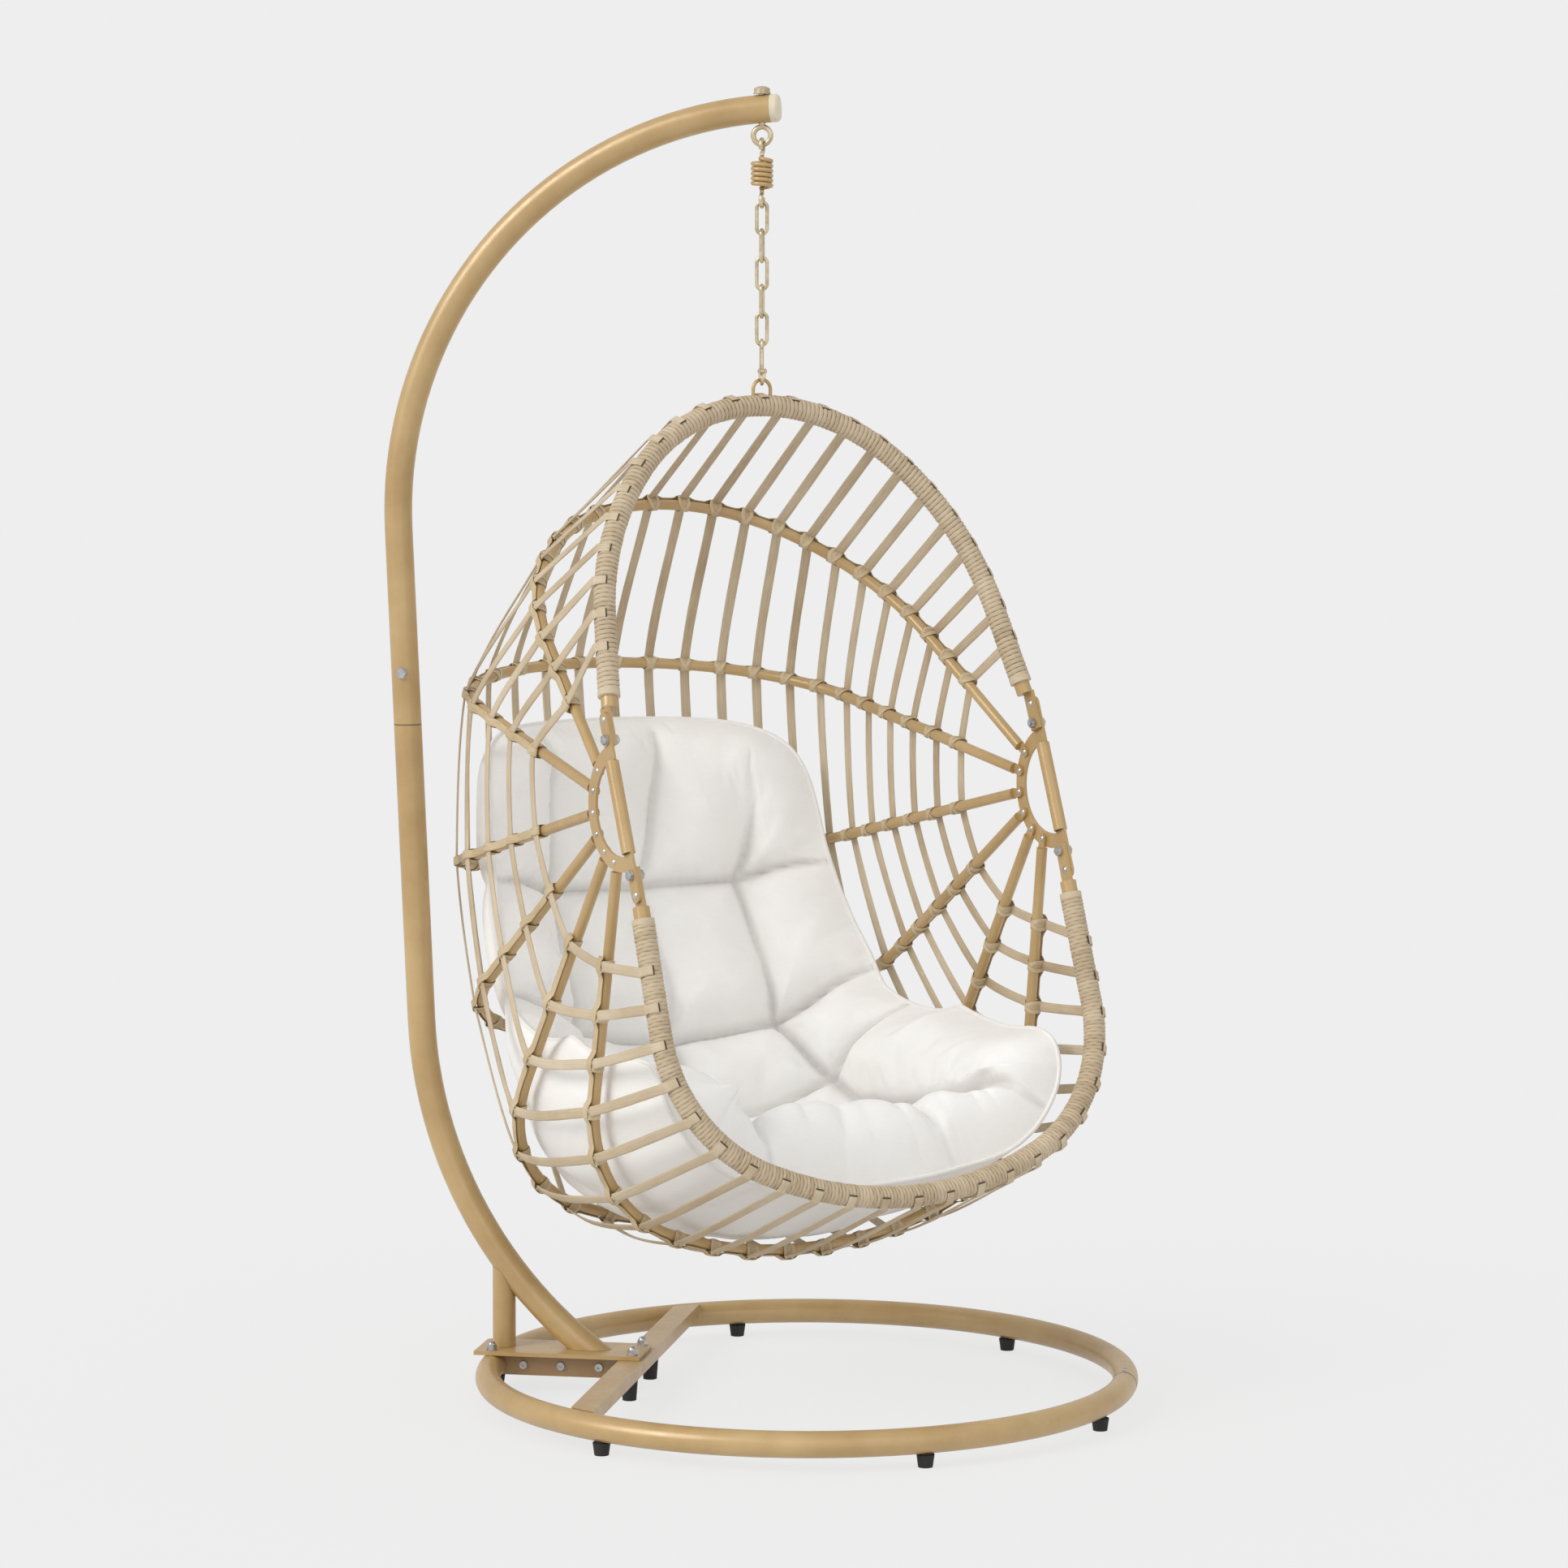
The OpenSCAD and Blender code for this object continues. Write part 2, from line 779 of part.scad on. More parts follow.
module snap_hook() {
    zt = snap_top - snap_top_r;
    zl = snap_low + snap_low_r;
    color([0.76, 0.76, 0.74])
        snap_line()
            difference() {
                union() {
                    translate([0, 0, zt])
                        across()
                            bend(snap_top_r, 0, 180, 64)
                                circle(d = snap_wire);
                    translate([0, 0, zl])
                        across()
                            bend(snap_low_r, 180, 360, 64)
                                circle(d = snap_wire);
                    rod([0, snap_top_r, zt], [0, snap_low_r, zl], snap_wire);
                    translate([0, snap_top_r, zt])
                        sphere(d = snap_wire + 2 * weld_up);
                    translate([0, snap_low_r, zl])
                        sphere(d = snap_wire + 2 * weld_up);
                    rod([0, -snap_top_r, zt], [0, -snap_top_r - 0.2, zt - 4], snap_wire);
                    translate([0, -snap_top_r, zt])
                        sphere(d = snap_wire + 2 * weld_up);
                    translate([-5.4, pivot_y - 4, zl - 2])
                        cube([10.8, 8, 4]);
                    for (x = [-5.4, 3.4])
                        translate([x, pivot_y - 4, zl - 1])
                            cube([2, 8, pivot_z - zl + 5]);
                }
                translate([-8, pivot_y, pivot_z])
                    rotate([0, 90, 0])
                        cylinder(h = 16, d = pin_d + 0.04);
            }
}

module gate_pin() {
    color([0.7, 0.7, 0.7])
        snap_line()
            translate([0, pivot_y, pivot_z])
                rotate([0, 90, 0]) {
                    translate([0, 0, -5.6])
                        cylinder(h = 11.2, d = pin_d);
                    for (z = [-6.9, 5.6])
                        translate([0, 0, z])
                            cylinder(h = 1.3, d = 5);
                }
}

module snap_gate() {
    zt = snap_top - snap_top_r - 7.6;
    color([0.76, 0.76, 0.74])
        snap_line()
            difference() {
                union() {
                    rod([0, pivot_y, pivot_z], [0, -snap_top_r - 0.3, zt], gate_d);
                    translate([0, -snap_top_r - 0.3, zt])
                        sphere(d = gate_d);
                    translate([-3, pivot_y, pivot_z])
                        rotate([0, 90, 0])
                            cylinder(h = 6, d = 7.4);
                }
                translate([-8, pivot_y, pivot_z])
                    rotate([0, 90, 0])
                        cylinder(h = 16, d = pin_d + 2 * pin_clear);
            }
}

// ---------- basket ----------
module basket() {
    translate([hook_x, 0, 0])
        rotate([0, 0, basket_yaw])
            children();
}

// hub plane: local x goes back, local y goes up along the bar, local z to the side
module hub_frame() {
    translate([0, -hub_front, hub_z])
        rotate([-bar_lean, 0, 0])
            rotate([90, 0, 90])
                children();
}

module both_sides() {
    children();
    mirror([1, 0, 0])
        children();
}

module hoop_frame(o, a) {
    translate([0, o[0], o[1]])
        rotate([a, 0, 0])
            children();
}

function rivet_o(k) = [-hub_front + rivet_row_r * (sin(rivet_angles[k]) * cos(bar_lean)
    + cos(rivet_angles[k]) * sin(bar_lean)),
    hub_z + rivet_row_r * (cos(rivet_angles[k]) * cos(bar_lean) - sin(rivet_angles[k]) * sin(bar_lean))];

// a hoop is described by [half width, splay, leg, corner radius, corner angle]
function leg_end(h) = [h[0] + h[2] * sin(h[1]), h[2] * cos(h[1])];
function corner_c(h) = leg_end(h) + h[3] * [-cos(h[1]), sin(h[1])];
function corner_end(h) = corner_c(h) + h[3] * [cos(h[1] - h[4]), -sin(h[1] - h[4])];
function crown_r(h) = corner_end(h)[0] / cos(h[4] - h[1]);
function crown_a(h) = 90 - (h[4] - h[1]);
function crown_c(h) = [0, corner_end(h)[1] - crown_r(h) * sin(h[4] - h[1])];
function half_len(h) = h[2] + (h[3] * h[4] + crown_r(h) * crown_a(h)) * PI / 180;
// point on the right half of a hoop at length t from its start
function half_point(h, t) = let (l1 = h[2], l2 = l1 + h[3] * h[4] * PI / 180)
    t < l1 ? [h[0] + t * sin(h[1]), t * cos(h[1])] :
    t < l2 ? let (p = (t - l1) / h[3] * 180 / PI - h[1]) corner_c(h) + h[3] * [cos(p), sin(p)] :
    let (p = h[4] - h[1] + (t - l2) / crown_r(h) * 180 / PI) crown_c(h) + crown_r(h) * [cos(p), sin(p)];
// point on the whole hoop, u from 0 at the left hub to 1 at the right hub
function hoop_point(h, u) = u < 0.5 ? let (p = half_point(h, 2 * u * half_len(h))) [-p[0], p[1]] :
    half_point(h, 2 * (1 - u) * half_len(h));
function lift(o, a, p) = [p[0], o[0] + p[1] * cos(a), o[1] + p[1] * sin(a)];

// sweeps a tube along a hoop; start leaves out the first part of each leg, weld collars close its joints
module hoop_tube(h, start, d, wall) {
    e = h[4] - h[1];
    s0 = weld_slit / h[3] * 180 / PI;
    s1 = weld_slit / crown_r(h) * 180 / PI;
    both_sides() {
        translate([h[0], 0, 0])
            rotate([0, 0, -h[1]])
                translate([0, start, 0])
                    run(h[2] - start - weld_slit)
                        ring2d(d, wall);
        translate([corner_c(h)[0], corner_c(h)[1], 0])
            bend(h[3], -h[1] + s0, e - s0)
                ring2d(d, wall);
        translate([leg_end(h)[0], leg_end(h)[1], 0])
            rotate([0, 0, -h[1]])
                collar(d, wall);
        translate([corner_end(h)[0], corner_end(h)[1], 0])
            rotate([0, 0, e])
                collar(d, wall);
    }
    translate([0, crown_c(h)[1], 0])
        bend(crown_r(h), e + s1, 180 - e - s1)
            ring2d(d, wall);
}

function rib_hoop(k) = [hub_half_w, rib_splay[k], rib_leg[k], rib_corner_r[k], rib_corner_a[k]];
up_hoop = [rim_w, up_splay, up_leg, up_corner_r, up_corner_a];
low_hoop = [rim_w, low_splay, low_leg, low_corner_r, low_corner_a];

module rib(k) {
    color([0.76, 0.66, 0.45])
        basket()
            hoop_frame(rivet_o(k), rib_angles[k]) {
                hoop_tube(rib_hoop(k), 16, rib_d, rib_wall);
                both_sides()
                    difference() {
                        union() {
                            translate([hub_half_w - 2, 0, -7])
                                cube([4, 16, 14]);
                            translate([hub_half_w - 2, 0, 0])
                                rotate([0, 90, 0])
                                    cylinder(h = 4, d = 14);
                            translate([hub_half_w, 0, 0])
                                rotate([0, 0, -rib_splay[k]])
                                    translate([0, 14.5, 0])
                                        rotate([-90, 0, 0])
                                            cylinder(h = 3, d = rib_d + 2 * weld_up);
                        }
                        translate([hub_half_w - 10, 0, 0])
                            rotate([0, 90, 0])
                                cylinder(h = 20, d = 5.6);
                    }
            }
}

module rib_1() {
    rib(0);
}

module rib_2() {
    rib(1);
}

module rib_3() {
    rib(2);
}

module rib_4() {
    rib(3);
}

module rib_5() {
    rib(4);
}

module rib_6() {
    rib(5);
}

module hub_plate() {
    basket()
        hub_frame()
            translate([0, 0, plate_in])
                linear_extrude(height = hub_t)
                    difference() {
                        union() {
                            intersection() {
                                difference() {
                                    circle(r = rivet_row_r + hub_plate_w / 2, $fn = 96);
                                    circle(r = rivet_row_r - hub_plate_w / 2, $fn = 96);
                                }
                                translate([0, -rivet_reach])
                                    square([rivet_reach, 2 * rivet_reach]);
                            }
                            for (s = [0, 1])
                                mirror([0, s]) {
                                    translate([-hub_plate_w / 2, hub_arm_y])
                                        square([hub_plate_w, rivet_reach - hub_arm_y]);
                                    translate([0, rivet_reach])
                                        circle(d = hub_plate_w);
                                }
                        }
                        for (a = rivet_angles)
                            translate([rivet_row_r * sin(a), rivet_row_r * cos(a)])
                                circle(d = 5.6);
                        for (y = [-bolt_reach, bolt_reach])
                            translate([0, y])
                                circle(d = 8.6);
                        for (y = [-rivet_reach, rivet_reach])
                            translate([0, y])
                                circle(d = 6.6);
                    }
}

// mirrored about the middle plane of the basket
module left_of_basket() {
    basket()
        mirror([1, 0, 0])
            rotate([0, 0, -basket_yaw])
                translate([-hook_x, 0, 0])
                    children();
}

module hub_plate_right() {
    color([0.8, 0.7, 0.5])
        hub_plate();
}

module hub_plate_left() {
    color([0.8, 0.7, 0.5])
        left_of_basket()
            hub_plate();
}

module hub_bar() {
    basket()
        hub_frame()
            translate([0, hub_arm_y - seat_gap, plate_in + hub_t / 2])
                rotate([90, 0, 0])
                    linear_extrude(height = 2 * (hub_arm_y - seat_gap))
                        ring2d(20, 2);
}

module hub_bar_right() {
    color([0.8, 0.7, 0.5])
        hub_bar();
}

module hub_bar_left() {
    color([0.8, 0.7, 0.5])
        left_of_basket()
            hub_bar();
}

module tang_holes() {
    both_sides()
        hub_frame() {
            for (y = [-bolt_reach, bolt_reach])
                translate([0, y, rim_w - 20])
                    cylinder(h = 40, d = 8.6);
            for (y = [-rivet_reach, rivet_reach])
                translate([0, y, rim_w - 20])
                    cylinder(h = 40, d = 6.6);
        }
}

module rim(o, a, h) {
    basket()
        difference() {
            hoop_frame(o, a) {
                hoop_tube(h, 50, rim_d, rim_wall);
                both_sides() {
                    translate([rim_w - 3, -10, -10.5])
                        cube([6, 59, 21]);
                    translate([h[0], 0, 0])
                        rotate([0, 0, -h[1]])
                            translate([0, 47, 0])
                                rotate([-90, 0, 0])
                                    cylinder(h = 5, d = rim_d + 2 * weld_up);
                }
            }
            tang_holes();
        }
}

module upper_rim() {
    color([0.78, 0.67, 0.46])
        rim(up_o, up_angle, up_hoop);
}

module lower_rim() {
    color([0.78, 0.67, 0.46])
        rim(low_o, low_angle, low_hoop);
}

module upper_rim_wrap() {
    color([0.78, 0.72, 0.63])
        basket()
            difference() {
                hoop_frame(up_o, up_angle)
                    hoop_tube(up_hoop, wrap_start, wrap_d, (wrap_d - rim_d) / 2 - seat_gap);
                for (x = [-loop_r, loop_r])
                    translate([x, 0, rim_top_z])
                        cylinder(h = 60, d = loop_wire + 2 * seat_gap);
            }
}

module lower_rim_wrap() {
    color([0.78, 0.72, 0.63])
        basket()
            hoop_frame(low_o, low_angle)
                hoop_tube(low_hoop, wrap_start, wrap_d, (wrap_d - rim_d) / 2 - seat_gap);
}

module hanging_loop() {
    foot_z = rim_top_z + rim_d / 2 + seat_gap;
    color([0.78, 0.67, 0.46])
        basket() {
            translate([0, 0, loop_top - loop_r])
                upright()
                    bend(loop_r, 0, 180, 64)
                        circle(d = loop_wire);
            for (a = [0, 180])
                translate([0, 0, foot_z])
                    upright()
                        rotate([0, a, 0])
                            translate([loop_r, 0, 0])
                                run(loop_top - loop_r - foot_z)
                                    circle(d = loop_wire);
        }
}

module rivet(d, head, x0, x1) {
    translate([0, 0, x0])
        cylinder(h = x1 - x0, d = d);
    translate([0, 0, x1 - 0.01])
        cylinder(h = 1.6, d1 = head, d2 = head * 0.6);
    translate([0, 0, x0 - 1.6 + 0.01])
        cylinder(h = 1.6, d1 = head * 0.6, d2 = head);
}

module rib_rivets() {
    color([0.82, 0.82, 0.8])
        basket()
            both_sides()
                hub_frame()
                    for (a = rivet_angles)
                        translate([rivet_row_r * sin(a), rivet_row_r * cos(a), 0])
                            rivet(5, 9, hub_half_w - 2.2, plate_out + 0.2);
}

module rim_rivets() {
    color([0.82, 0.82, 0.8])
        basket()
            both_sides()
                hub_frame()
                    for (y = [-rivet_reach, rivet_reach])
                        translate([0, y, 0])
                            rivet(6, 11, rim_w - 3.2, plate_out + 0.2);
}

module rim_bolts() {
    color([0.8, 0.8, 0.8])
        basket()
            both_sides()
                hub_frame()
                    for (y = [-bolt_reach, bolt_reach])
                        translate([0, y, 0]) {
                            translate([0, 0, rim_w - 12])
                                cylinder(h = plate_out + 14 - rim_w, d = 8);
                            translate([0, 0, plate_out + 0.2])
                                cylinder(h = 1.4, d = 16);
                            translate([0, 0, plate_out + 1.6])
                                hex(13, 5);
                            translate([0, 0, rim_w - 9.7])
                                hex(13, 6.5);
                        }
}

// ---------- woven bands ----------
// hoops in order from the upper rim to the lower rim, each as [origin, angle, hoop, reach of band, first, last, drift]
rim_reach = wrap_d / 2 + band_t / 2 + strand_gap;
rib_reach = rib_d / 2 + band_t / 2 + strand_gap;
weave = concat(
    [[up_o, up_angle, up_hoop, rim_reach, 0.0985, 0.9015, 0]],
    [for (k = [0:5]) [rivet_o(k), rib_angles[k], rib_hoop(k), rib_reach, weave_first[k], weave_last[k], weave_drift[k]]],
    [[low_o, low_angle, low_hoop, rim_reach, 0.096, 0.904, 0]]);

// place of band i on hoop w, from 0 at the left hub to 1 at the right hub
function weave_u(w, i) = let (x = i / (strand_n - 1))
    w[4] + (w[5] - w[4]) * (x + w[6] * x * (1 - x) * (1 - x));
function cross_at(j, i) = let (w = weave[j]) lift(w[0], w[1], hoop_point(w[2], weave_u(w, i)));
function hoop_dir(j, i) = let (w = weave[j], u = weave_u(w, i))
    unit(lift(w[0], w[1], hoop_point(w[2], u + 0.002)) - lift(w[0], w[1], hoop_point(w[2], u - 0.002)));
function band_dir(j, i) = unit(cross_at(min(j + 1, 7), i) - cross_at(max(j - 1, 0), i));
// outward normal of the basket where band i crosses hoop j
function out_dir(j, i) = unit(cross(hoop_dir(j, i), band_dir(j, i)));
function band_at(j, i) = cross_at(j, i) + weave[j][3] * out_dir(j, i);

// smooth point between crossings j and j + 1
function band_mid(j, i) = let (a = band_at(max(j - 1, 0), i), b = band_at(j, i), c = band_at(j + 1, i),
    d = band_at(min(j + 2, 7), i)) (b + c) / 2 + (b + c - a - d) / 16;
function band_line(i) = [for (s = [0:14]) s % 2 == 0 ? band_at(s / 2, i) : band_mid((s - 1) / 2, i)];
function band_out(s, i) = s % 2 == 0 ? out_dir(s / 2, i) :
    unit(out_dir((s - 1) / 2, i) + out_dir((s + 1) / 2, i));
function band_ring(line, s, i) = let (d = path_dir(line, s), n0 = band_out(s, i),
    w = unit(cross(d, n0)), n = cross(w, d))
    [line[s] + w * band_w / 2, line[s] + w * band_w * 0.3 + n * band_t / 2,
        line[s] - w * band_w * 0.3 + n * band_t / 2, line[s] - w * band_w / 2,
        line[s] - w * band_w * 0.3 - n * band_t / 2, line[s] + w * band_w * 0.3 - n * band_t / 2];

module band(i) {
    line = band_line(i);
    skin([for (s = [0:14]) band_ring(line, s, i)], 6);
}

module bands_left() {
    color([0.79, 0.73, 0.64])
        basket()
            for (i = [0:10])
                band(i);
}

module band_centre() {
    color([0.79, 0.73, 0.64])
        basket()
            band(11);
}

module bands_right() {
    color([0.79, 0.73, 0.64])
        basket()
            for (i = [12:22])
                band(i);
}

// ---------- cushion ----------
// polar shell about the hub line: a is the angle from straight back, f the place across the hoop
// how far the cushion lies inside the middle of the hoops, more beyond the lowest hoop
function cushion_off(a) = rib_d / 2 + 6.5 + 0.5 * max(0, -a - 80);
pol_a = [for (k = [0:5]) rib_angles[k]];
function seg(a, k = 0) = (k >= 4 || a > pol_a[k + 1]) ? k : seg(a, k + 1);
function pol_point(k, f) = let (p = hoop_point(rib_hoop(k), f), q = lift(rivet_o(k), rib_angles[k], p))
    [q[0], norm([q[1] + hub_front, q[2] - hub_z])];
function pol_ang(k, f) = let (p = hoop_point(rib_hoop(k), f), q = lift(rivet_o(k), rib_angles[k], p))
    atan2(q[2] - hub_z, q[1] + hub_front);
function shell(a, f) = let (k = seg(a), w = (a - pol_a[k]) / (pol_a[k + 1] - pol_a[k]),
    p = pol_point(k, f) * (1 - w) + pol_point(k + 1, f) * w) p;
// inward direction in the plane of the hoop
function shell_in(a, f) = let (p = shell(a, f + 0.01), q = shell(a, f - 0.01), t = unit(p - q)) [t[1], -t[0]];
function pol_to_xyz(a, p) = [p[0], -hub_front + p[1] * cos(a), hub_z + p[1] * sin(a)];

cush_na = 15;
cush_nf = 17;
cush_top = 6;
cush_low = -97;
function cush_a(i) = cush_top + (cush_low - cush_top) * i / (cush_na - 1);
// how far across the hoop the cushion reaches, wider at the seat
function cush_f0(a) = a > -40 ? 0.275 - 0.03 * (6 - a) / 46 : 0.245 - 0.075 * min(1, (-40 - a) / 20);
function cush_f(a, j) = let (f0 = cush_f0(a)) f0 + (1 - 2 * f0) * j / (cush_nf - 1);
function crown(x) = pow(max(0, 1 - pow(abs(2 * x - 1), 3)), 0.5);
// seams: two across, two along, pulled in where they cross
function dip(x, at, w) = exp(-pow((x - at) / w, 2));
function seam(i, j) = let (x = i / (cush_na - 1), y = j / (cush_nf - 1))
    26 * dip(x, 0.3, 0.035) + 24 * dip(x, 0.53, 0.035)
    + 14 * (dip(y, 0.33, 0.05) + dip(y, 0.67, 0.05)) * (x > 0.08 && x < 0.92 ? 1 : 0)
    + 12 * (dip(x, 0.3, 0.06) + dip(x, 0.53, 0.06)) * (dip(y, 0.33, 0.09) + dip(y, 0.67, 0.09));
function cush_t(i, j) = let (x = i / (cush_na - 1), y = j / (cush_nf - 1),
    t0 = back_t + (seat_t - back_t) * min(1, max(0, (x - 0.4) / 0.3)))
    max(14, t0 * crown(x) * (0.35 + 0.65 * crown(y)) - seam(i, j));
// point of the cushion at depth e inside its surface, on the outer face (side 0) or the seat face (side 1)
function cush_at(i, j, side, e) = let (a = cush_a(i), f = cush_f(a, j),
    h = side == 0 ? e : cush_t(i, j) - e,
    p = shell(a, f) + shell_in(a, f) * (cushion_off(a) + h)) pol_to_xyz(a, p);

// the cushion's body, m rows of points smaller all round and e inside its surface
module cush_body(m, e) {
    rows = cush_na - 2 * m;
    cols = cush_nf - 2 * m;
    n = rows * cols;
    pts = [for (s = [0, 1]) for (i = [m:cush_na - 1 - m]) for (j = [m:cush_nf - 1 - m]) cush_at(i, j, s, e)];
    outer = [for (i = [0:rows - 2]) for (j = [0:cols - 2])
        let (a = i * cols + j, b = a + 1, c = a + cols, d = c + 1) each [[a, c, d], [a, d, b]]];
    inner = [for (f = outer) [f[0] + n, f[2] + n, f[1] + n]];
    left = [for (i = [0:rows - 2]) let (a = i * cols, c = a + cols) each [[a, a + n, c + n], [a, c + n, c]]];
    right = [for (i = [0:rows - 2]) let (a = i * cols + cols - 1, c = a + cols)
        each [[a, c + n, a + n], [a, c, c + n]]];
    top = [for (a = [0:cols - 2]) let (b = a + 1) each [[a, b + n, a + n], [a, b, b + n]]];
    z = (rows - 1) * cols;
    low = [for (j = [0:cols - 2]) let (a = z + j, b = a + 1) each [[a, a + n, b + n], [a, b + n, b]]];
    polyhedron(points = pts, faces = concat(outer, inner, left, right, top, low), convexity = 8);
}

// a hollow cover: the loose filling weighs next to nothing
module cushion() {
    color([0.94, 0.93, 0.91])
        basket()
            difference() {
                cush_body(0, 0);
                cush_body(1, cover_t);
            }
}

base_ring_rear();
base_ring_front();
ring_screws();
crossbar();
base_beam();
beam_bolts();
base_plate();
plate_bolts();
rubber_feet();
lower_post();
post_brace();
upper_post();
post_bolt();
arm_end_cap();
eye_bolt();
eye_bolt_nut();
spring_upper_hook();
spring_coil();
spring_lower_hook();
chain_link_1();
chain_link_2();
chain_link_3();
chain_link_4();
chain_link_5();
snap_hook();
gate_pin();
snap_gate();
hanging_loop();
upper_rim();
lower_rim();
upper_rim_wrap();
lower_rim_wrap();
hub_plate_left();
hub_plate_right();
hub_bar_left();
hub_bar_right();
rib_1();
rib_2();
rib_3();
rib_4();
rib_5();
rib_6();
rib_rivets();
rim_rivets();
rim_bolts();
bands_left();
band_centre();
bands_right();
cushion();
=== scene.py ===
import random
from math import acos, cos, degrees, hypot, pi, radians as rad, sin, sqrt

import bmesh
import bpy
import numpy as np
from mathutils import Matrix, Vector, noise
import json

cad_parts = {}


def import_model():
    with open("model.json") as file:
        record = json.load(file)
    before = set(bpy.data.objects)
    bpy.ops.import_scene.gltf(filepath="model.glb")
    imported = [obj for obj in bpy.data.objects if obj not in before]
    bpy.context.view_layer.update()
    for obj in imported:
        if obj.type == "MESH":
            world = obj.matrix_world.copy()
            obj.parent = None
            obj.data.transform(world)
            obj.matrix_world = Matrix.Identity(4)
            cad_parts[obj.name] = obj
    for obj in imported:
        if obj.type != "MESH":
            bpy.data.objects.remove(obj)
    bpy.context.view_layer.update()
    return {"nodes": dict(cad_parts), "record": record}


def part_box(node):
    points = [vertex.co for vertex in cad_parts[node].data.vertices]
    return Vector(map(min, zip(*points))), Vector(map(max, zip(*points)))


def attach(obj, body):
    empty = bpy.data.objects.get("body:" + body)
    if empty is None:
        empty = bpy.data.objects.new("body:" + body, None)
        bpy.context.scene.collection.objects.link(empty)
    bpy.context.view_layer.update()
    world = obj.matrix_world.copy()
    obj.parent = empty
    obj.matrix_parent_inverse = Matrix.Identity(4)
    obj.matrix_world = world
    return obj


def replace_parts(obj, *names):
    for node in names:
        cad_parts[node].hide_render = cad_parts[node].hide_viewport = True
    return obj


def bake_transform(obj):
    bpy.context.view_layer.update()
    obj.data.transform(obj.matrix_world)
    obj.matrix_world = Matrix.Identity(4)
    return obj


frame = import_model()
NODES = frame["nodes"]
SLOT = {s["node"]: s["material_slot"] for s in frame["record"]["subparts"]}
scene = bpy.context.scene

# ---------- driving sizes, as in part.scad
# Lengths are in millimetres and angles in degrees. The basket has a frame of its own: x to its right,
# y to its back, z up, with the hanging line at x = y = 0.
STAND_H = 1953
POST_D = 42
ARM_R = 600
ARM_CX = -27.97
HOOK_X = -70
BASKET_YAW = 40.4
EYE_WIRE = 8
EYE_R = 13
EYE_GAP = 1.5
SEAT_GAP = 0.3
SPRING_WIRE = 6.6
SPRING_D = 34
SPRING_PITCH = 7.2
SPRING_TURNS = 5
UPPER_HOOK_R = 10
UPPER_HOOK_LEAD = 12
LOWER_HOOK_R = 9
LOWER_HOOK_LEAD = 13
LINK_WIRE = 5.5
LINK_L = 52.3
LINKS = 5
SNAP_WIRE = 6
SNAP_SPAN = 64
LOOP_WIRE = 5.5
LOOP_GAP = 0.5
LOOP_RISE = 38.7
HUB_FRONT = 232
HUB_HALF = 362
HUB_LEAN = 21.3
RIVET_ROW_R = 81
RIVET_FIRST = 33
RIVET_STEP = 22.8
BOLT_REACH = 100
RIM_HALF = 361
UP_REACH = 512.5
UP_SPLAY = -8.7
UP_CORNER_R = 435
UP_CORNER_A = 35
LOW_ANGLE = -109.2
LOW_SPLAY = 0.6
LOW_LEG = 230
LOW_CORNER_R = 228
LOW_CORNER_A = 66
RIB_D = 16
WRAP_D = 33
WRAP_START = 65
# a band takes up BAND_T of room on a hoop and is drawn BAND_THICK thick
BAND_T = 4.5
BAND_THICK = 3.4
BAND_W = 15
STRAND_GAP = 0.97
STRANDS = 23
# the six hoops from the top to the bottom
RIBS_N = 6
RIB_A = [37, 11.5, -12.5, -34.6, -57, -81.3]
RIB_SPLAY = [-7, -5, -4, -0.5, 1.4, 1.4]
RIB_LEG = [280, 436, 471, 428, 421, 350]
RIB_CORNER_R = [415, 283, 181, 196, 290, 226]
RIB_CORNER_A = [40, 67, 69, 69, 69, 71.5]
WEAVE_FIRST = [0.093, 0.12, 0.111, 0.0925, 0.086, 0.088]
WEAVE_LAST = [0.893, 0.91, 0.909, 0.9075, 0.921, 0.923]
WEAVE_DRIFT = [0.35, 0.4, 0.5, 0.49, 0.56, 0.14]
UP_WEAVE = (0.0985, 0.9015, 0)
LOW_WEAVE = (0.096, 0.904, 0)

FULL_TURN = 2 * pi


def unit(v):
    """The vector with length 1."""
    v = np.asarray(v, float)
    return v / max(1e-12, np.linalg.norm(v))


def units(rows):
    """Each row of an array with length 1."""
    return rows / np.maximum(1e-9, np.linalg.norm(rows, axis=-1, keepdims=True))


# ---------- heights down the hanging line
ARM_Z = STAND_H - POST_D / 2 - ARM_R
ARM_AT_HOOK = ARM_Z + sqrt(ARM_R ** 2 - (HOOK_X - ARM_CX) ** 2)
EYE_Z = ARM_AT_HOOK - POST_D / 2 - EYE_R - EYE_WIRE / 2 - EYE_GAP
UPPER_HOOK_Z = EYE_Z - EYE_R + EYE_WIRE / 2 + SEAT_GAP + SPRING_WIRE / 2 - UPPER_HOOK_R
COIL_TOP = UPPER_HOOK_Z - UPPER_HOOK_R - UPPER_HOOK_LEAD
COIL_LOW = COIL_TOP - SPRING_PITCH * SPRING_TURNS
LOWER_HOOK_LOW = COIL_LOW - LOWER_HOOK_LEAD - 2 * LOWER_HOOK_R
LINK_TOP = LOWER_HOOK_LOW + (SPRING_WIRE + LINK_WIRE) / 2 + SEAT_GAP
LINK_SPAN = LINK_L - LINK_WIRE
LINK_STEP = LINK_SPAN - LINK_WIRE - SEAT_GAP
LINK_END = LINK_TOP - (LINKS - 1) * LINK_STEP - LINK_SPAN
SNAP_LOW = LINK_END + (LINK_WIRE + SNAP_WIRE) / 2 + SEAT_GAP - SNAP_SPAN
LOOP_TOP = SNAP_LOW + (SNAP_WIRE + LOOP_WIRE) / 2 + LOOP_GAP
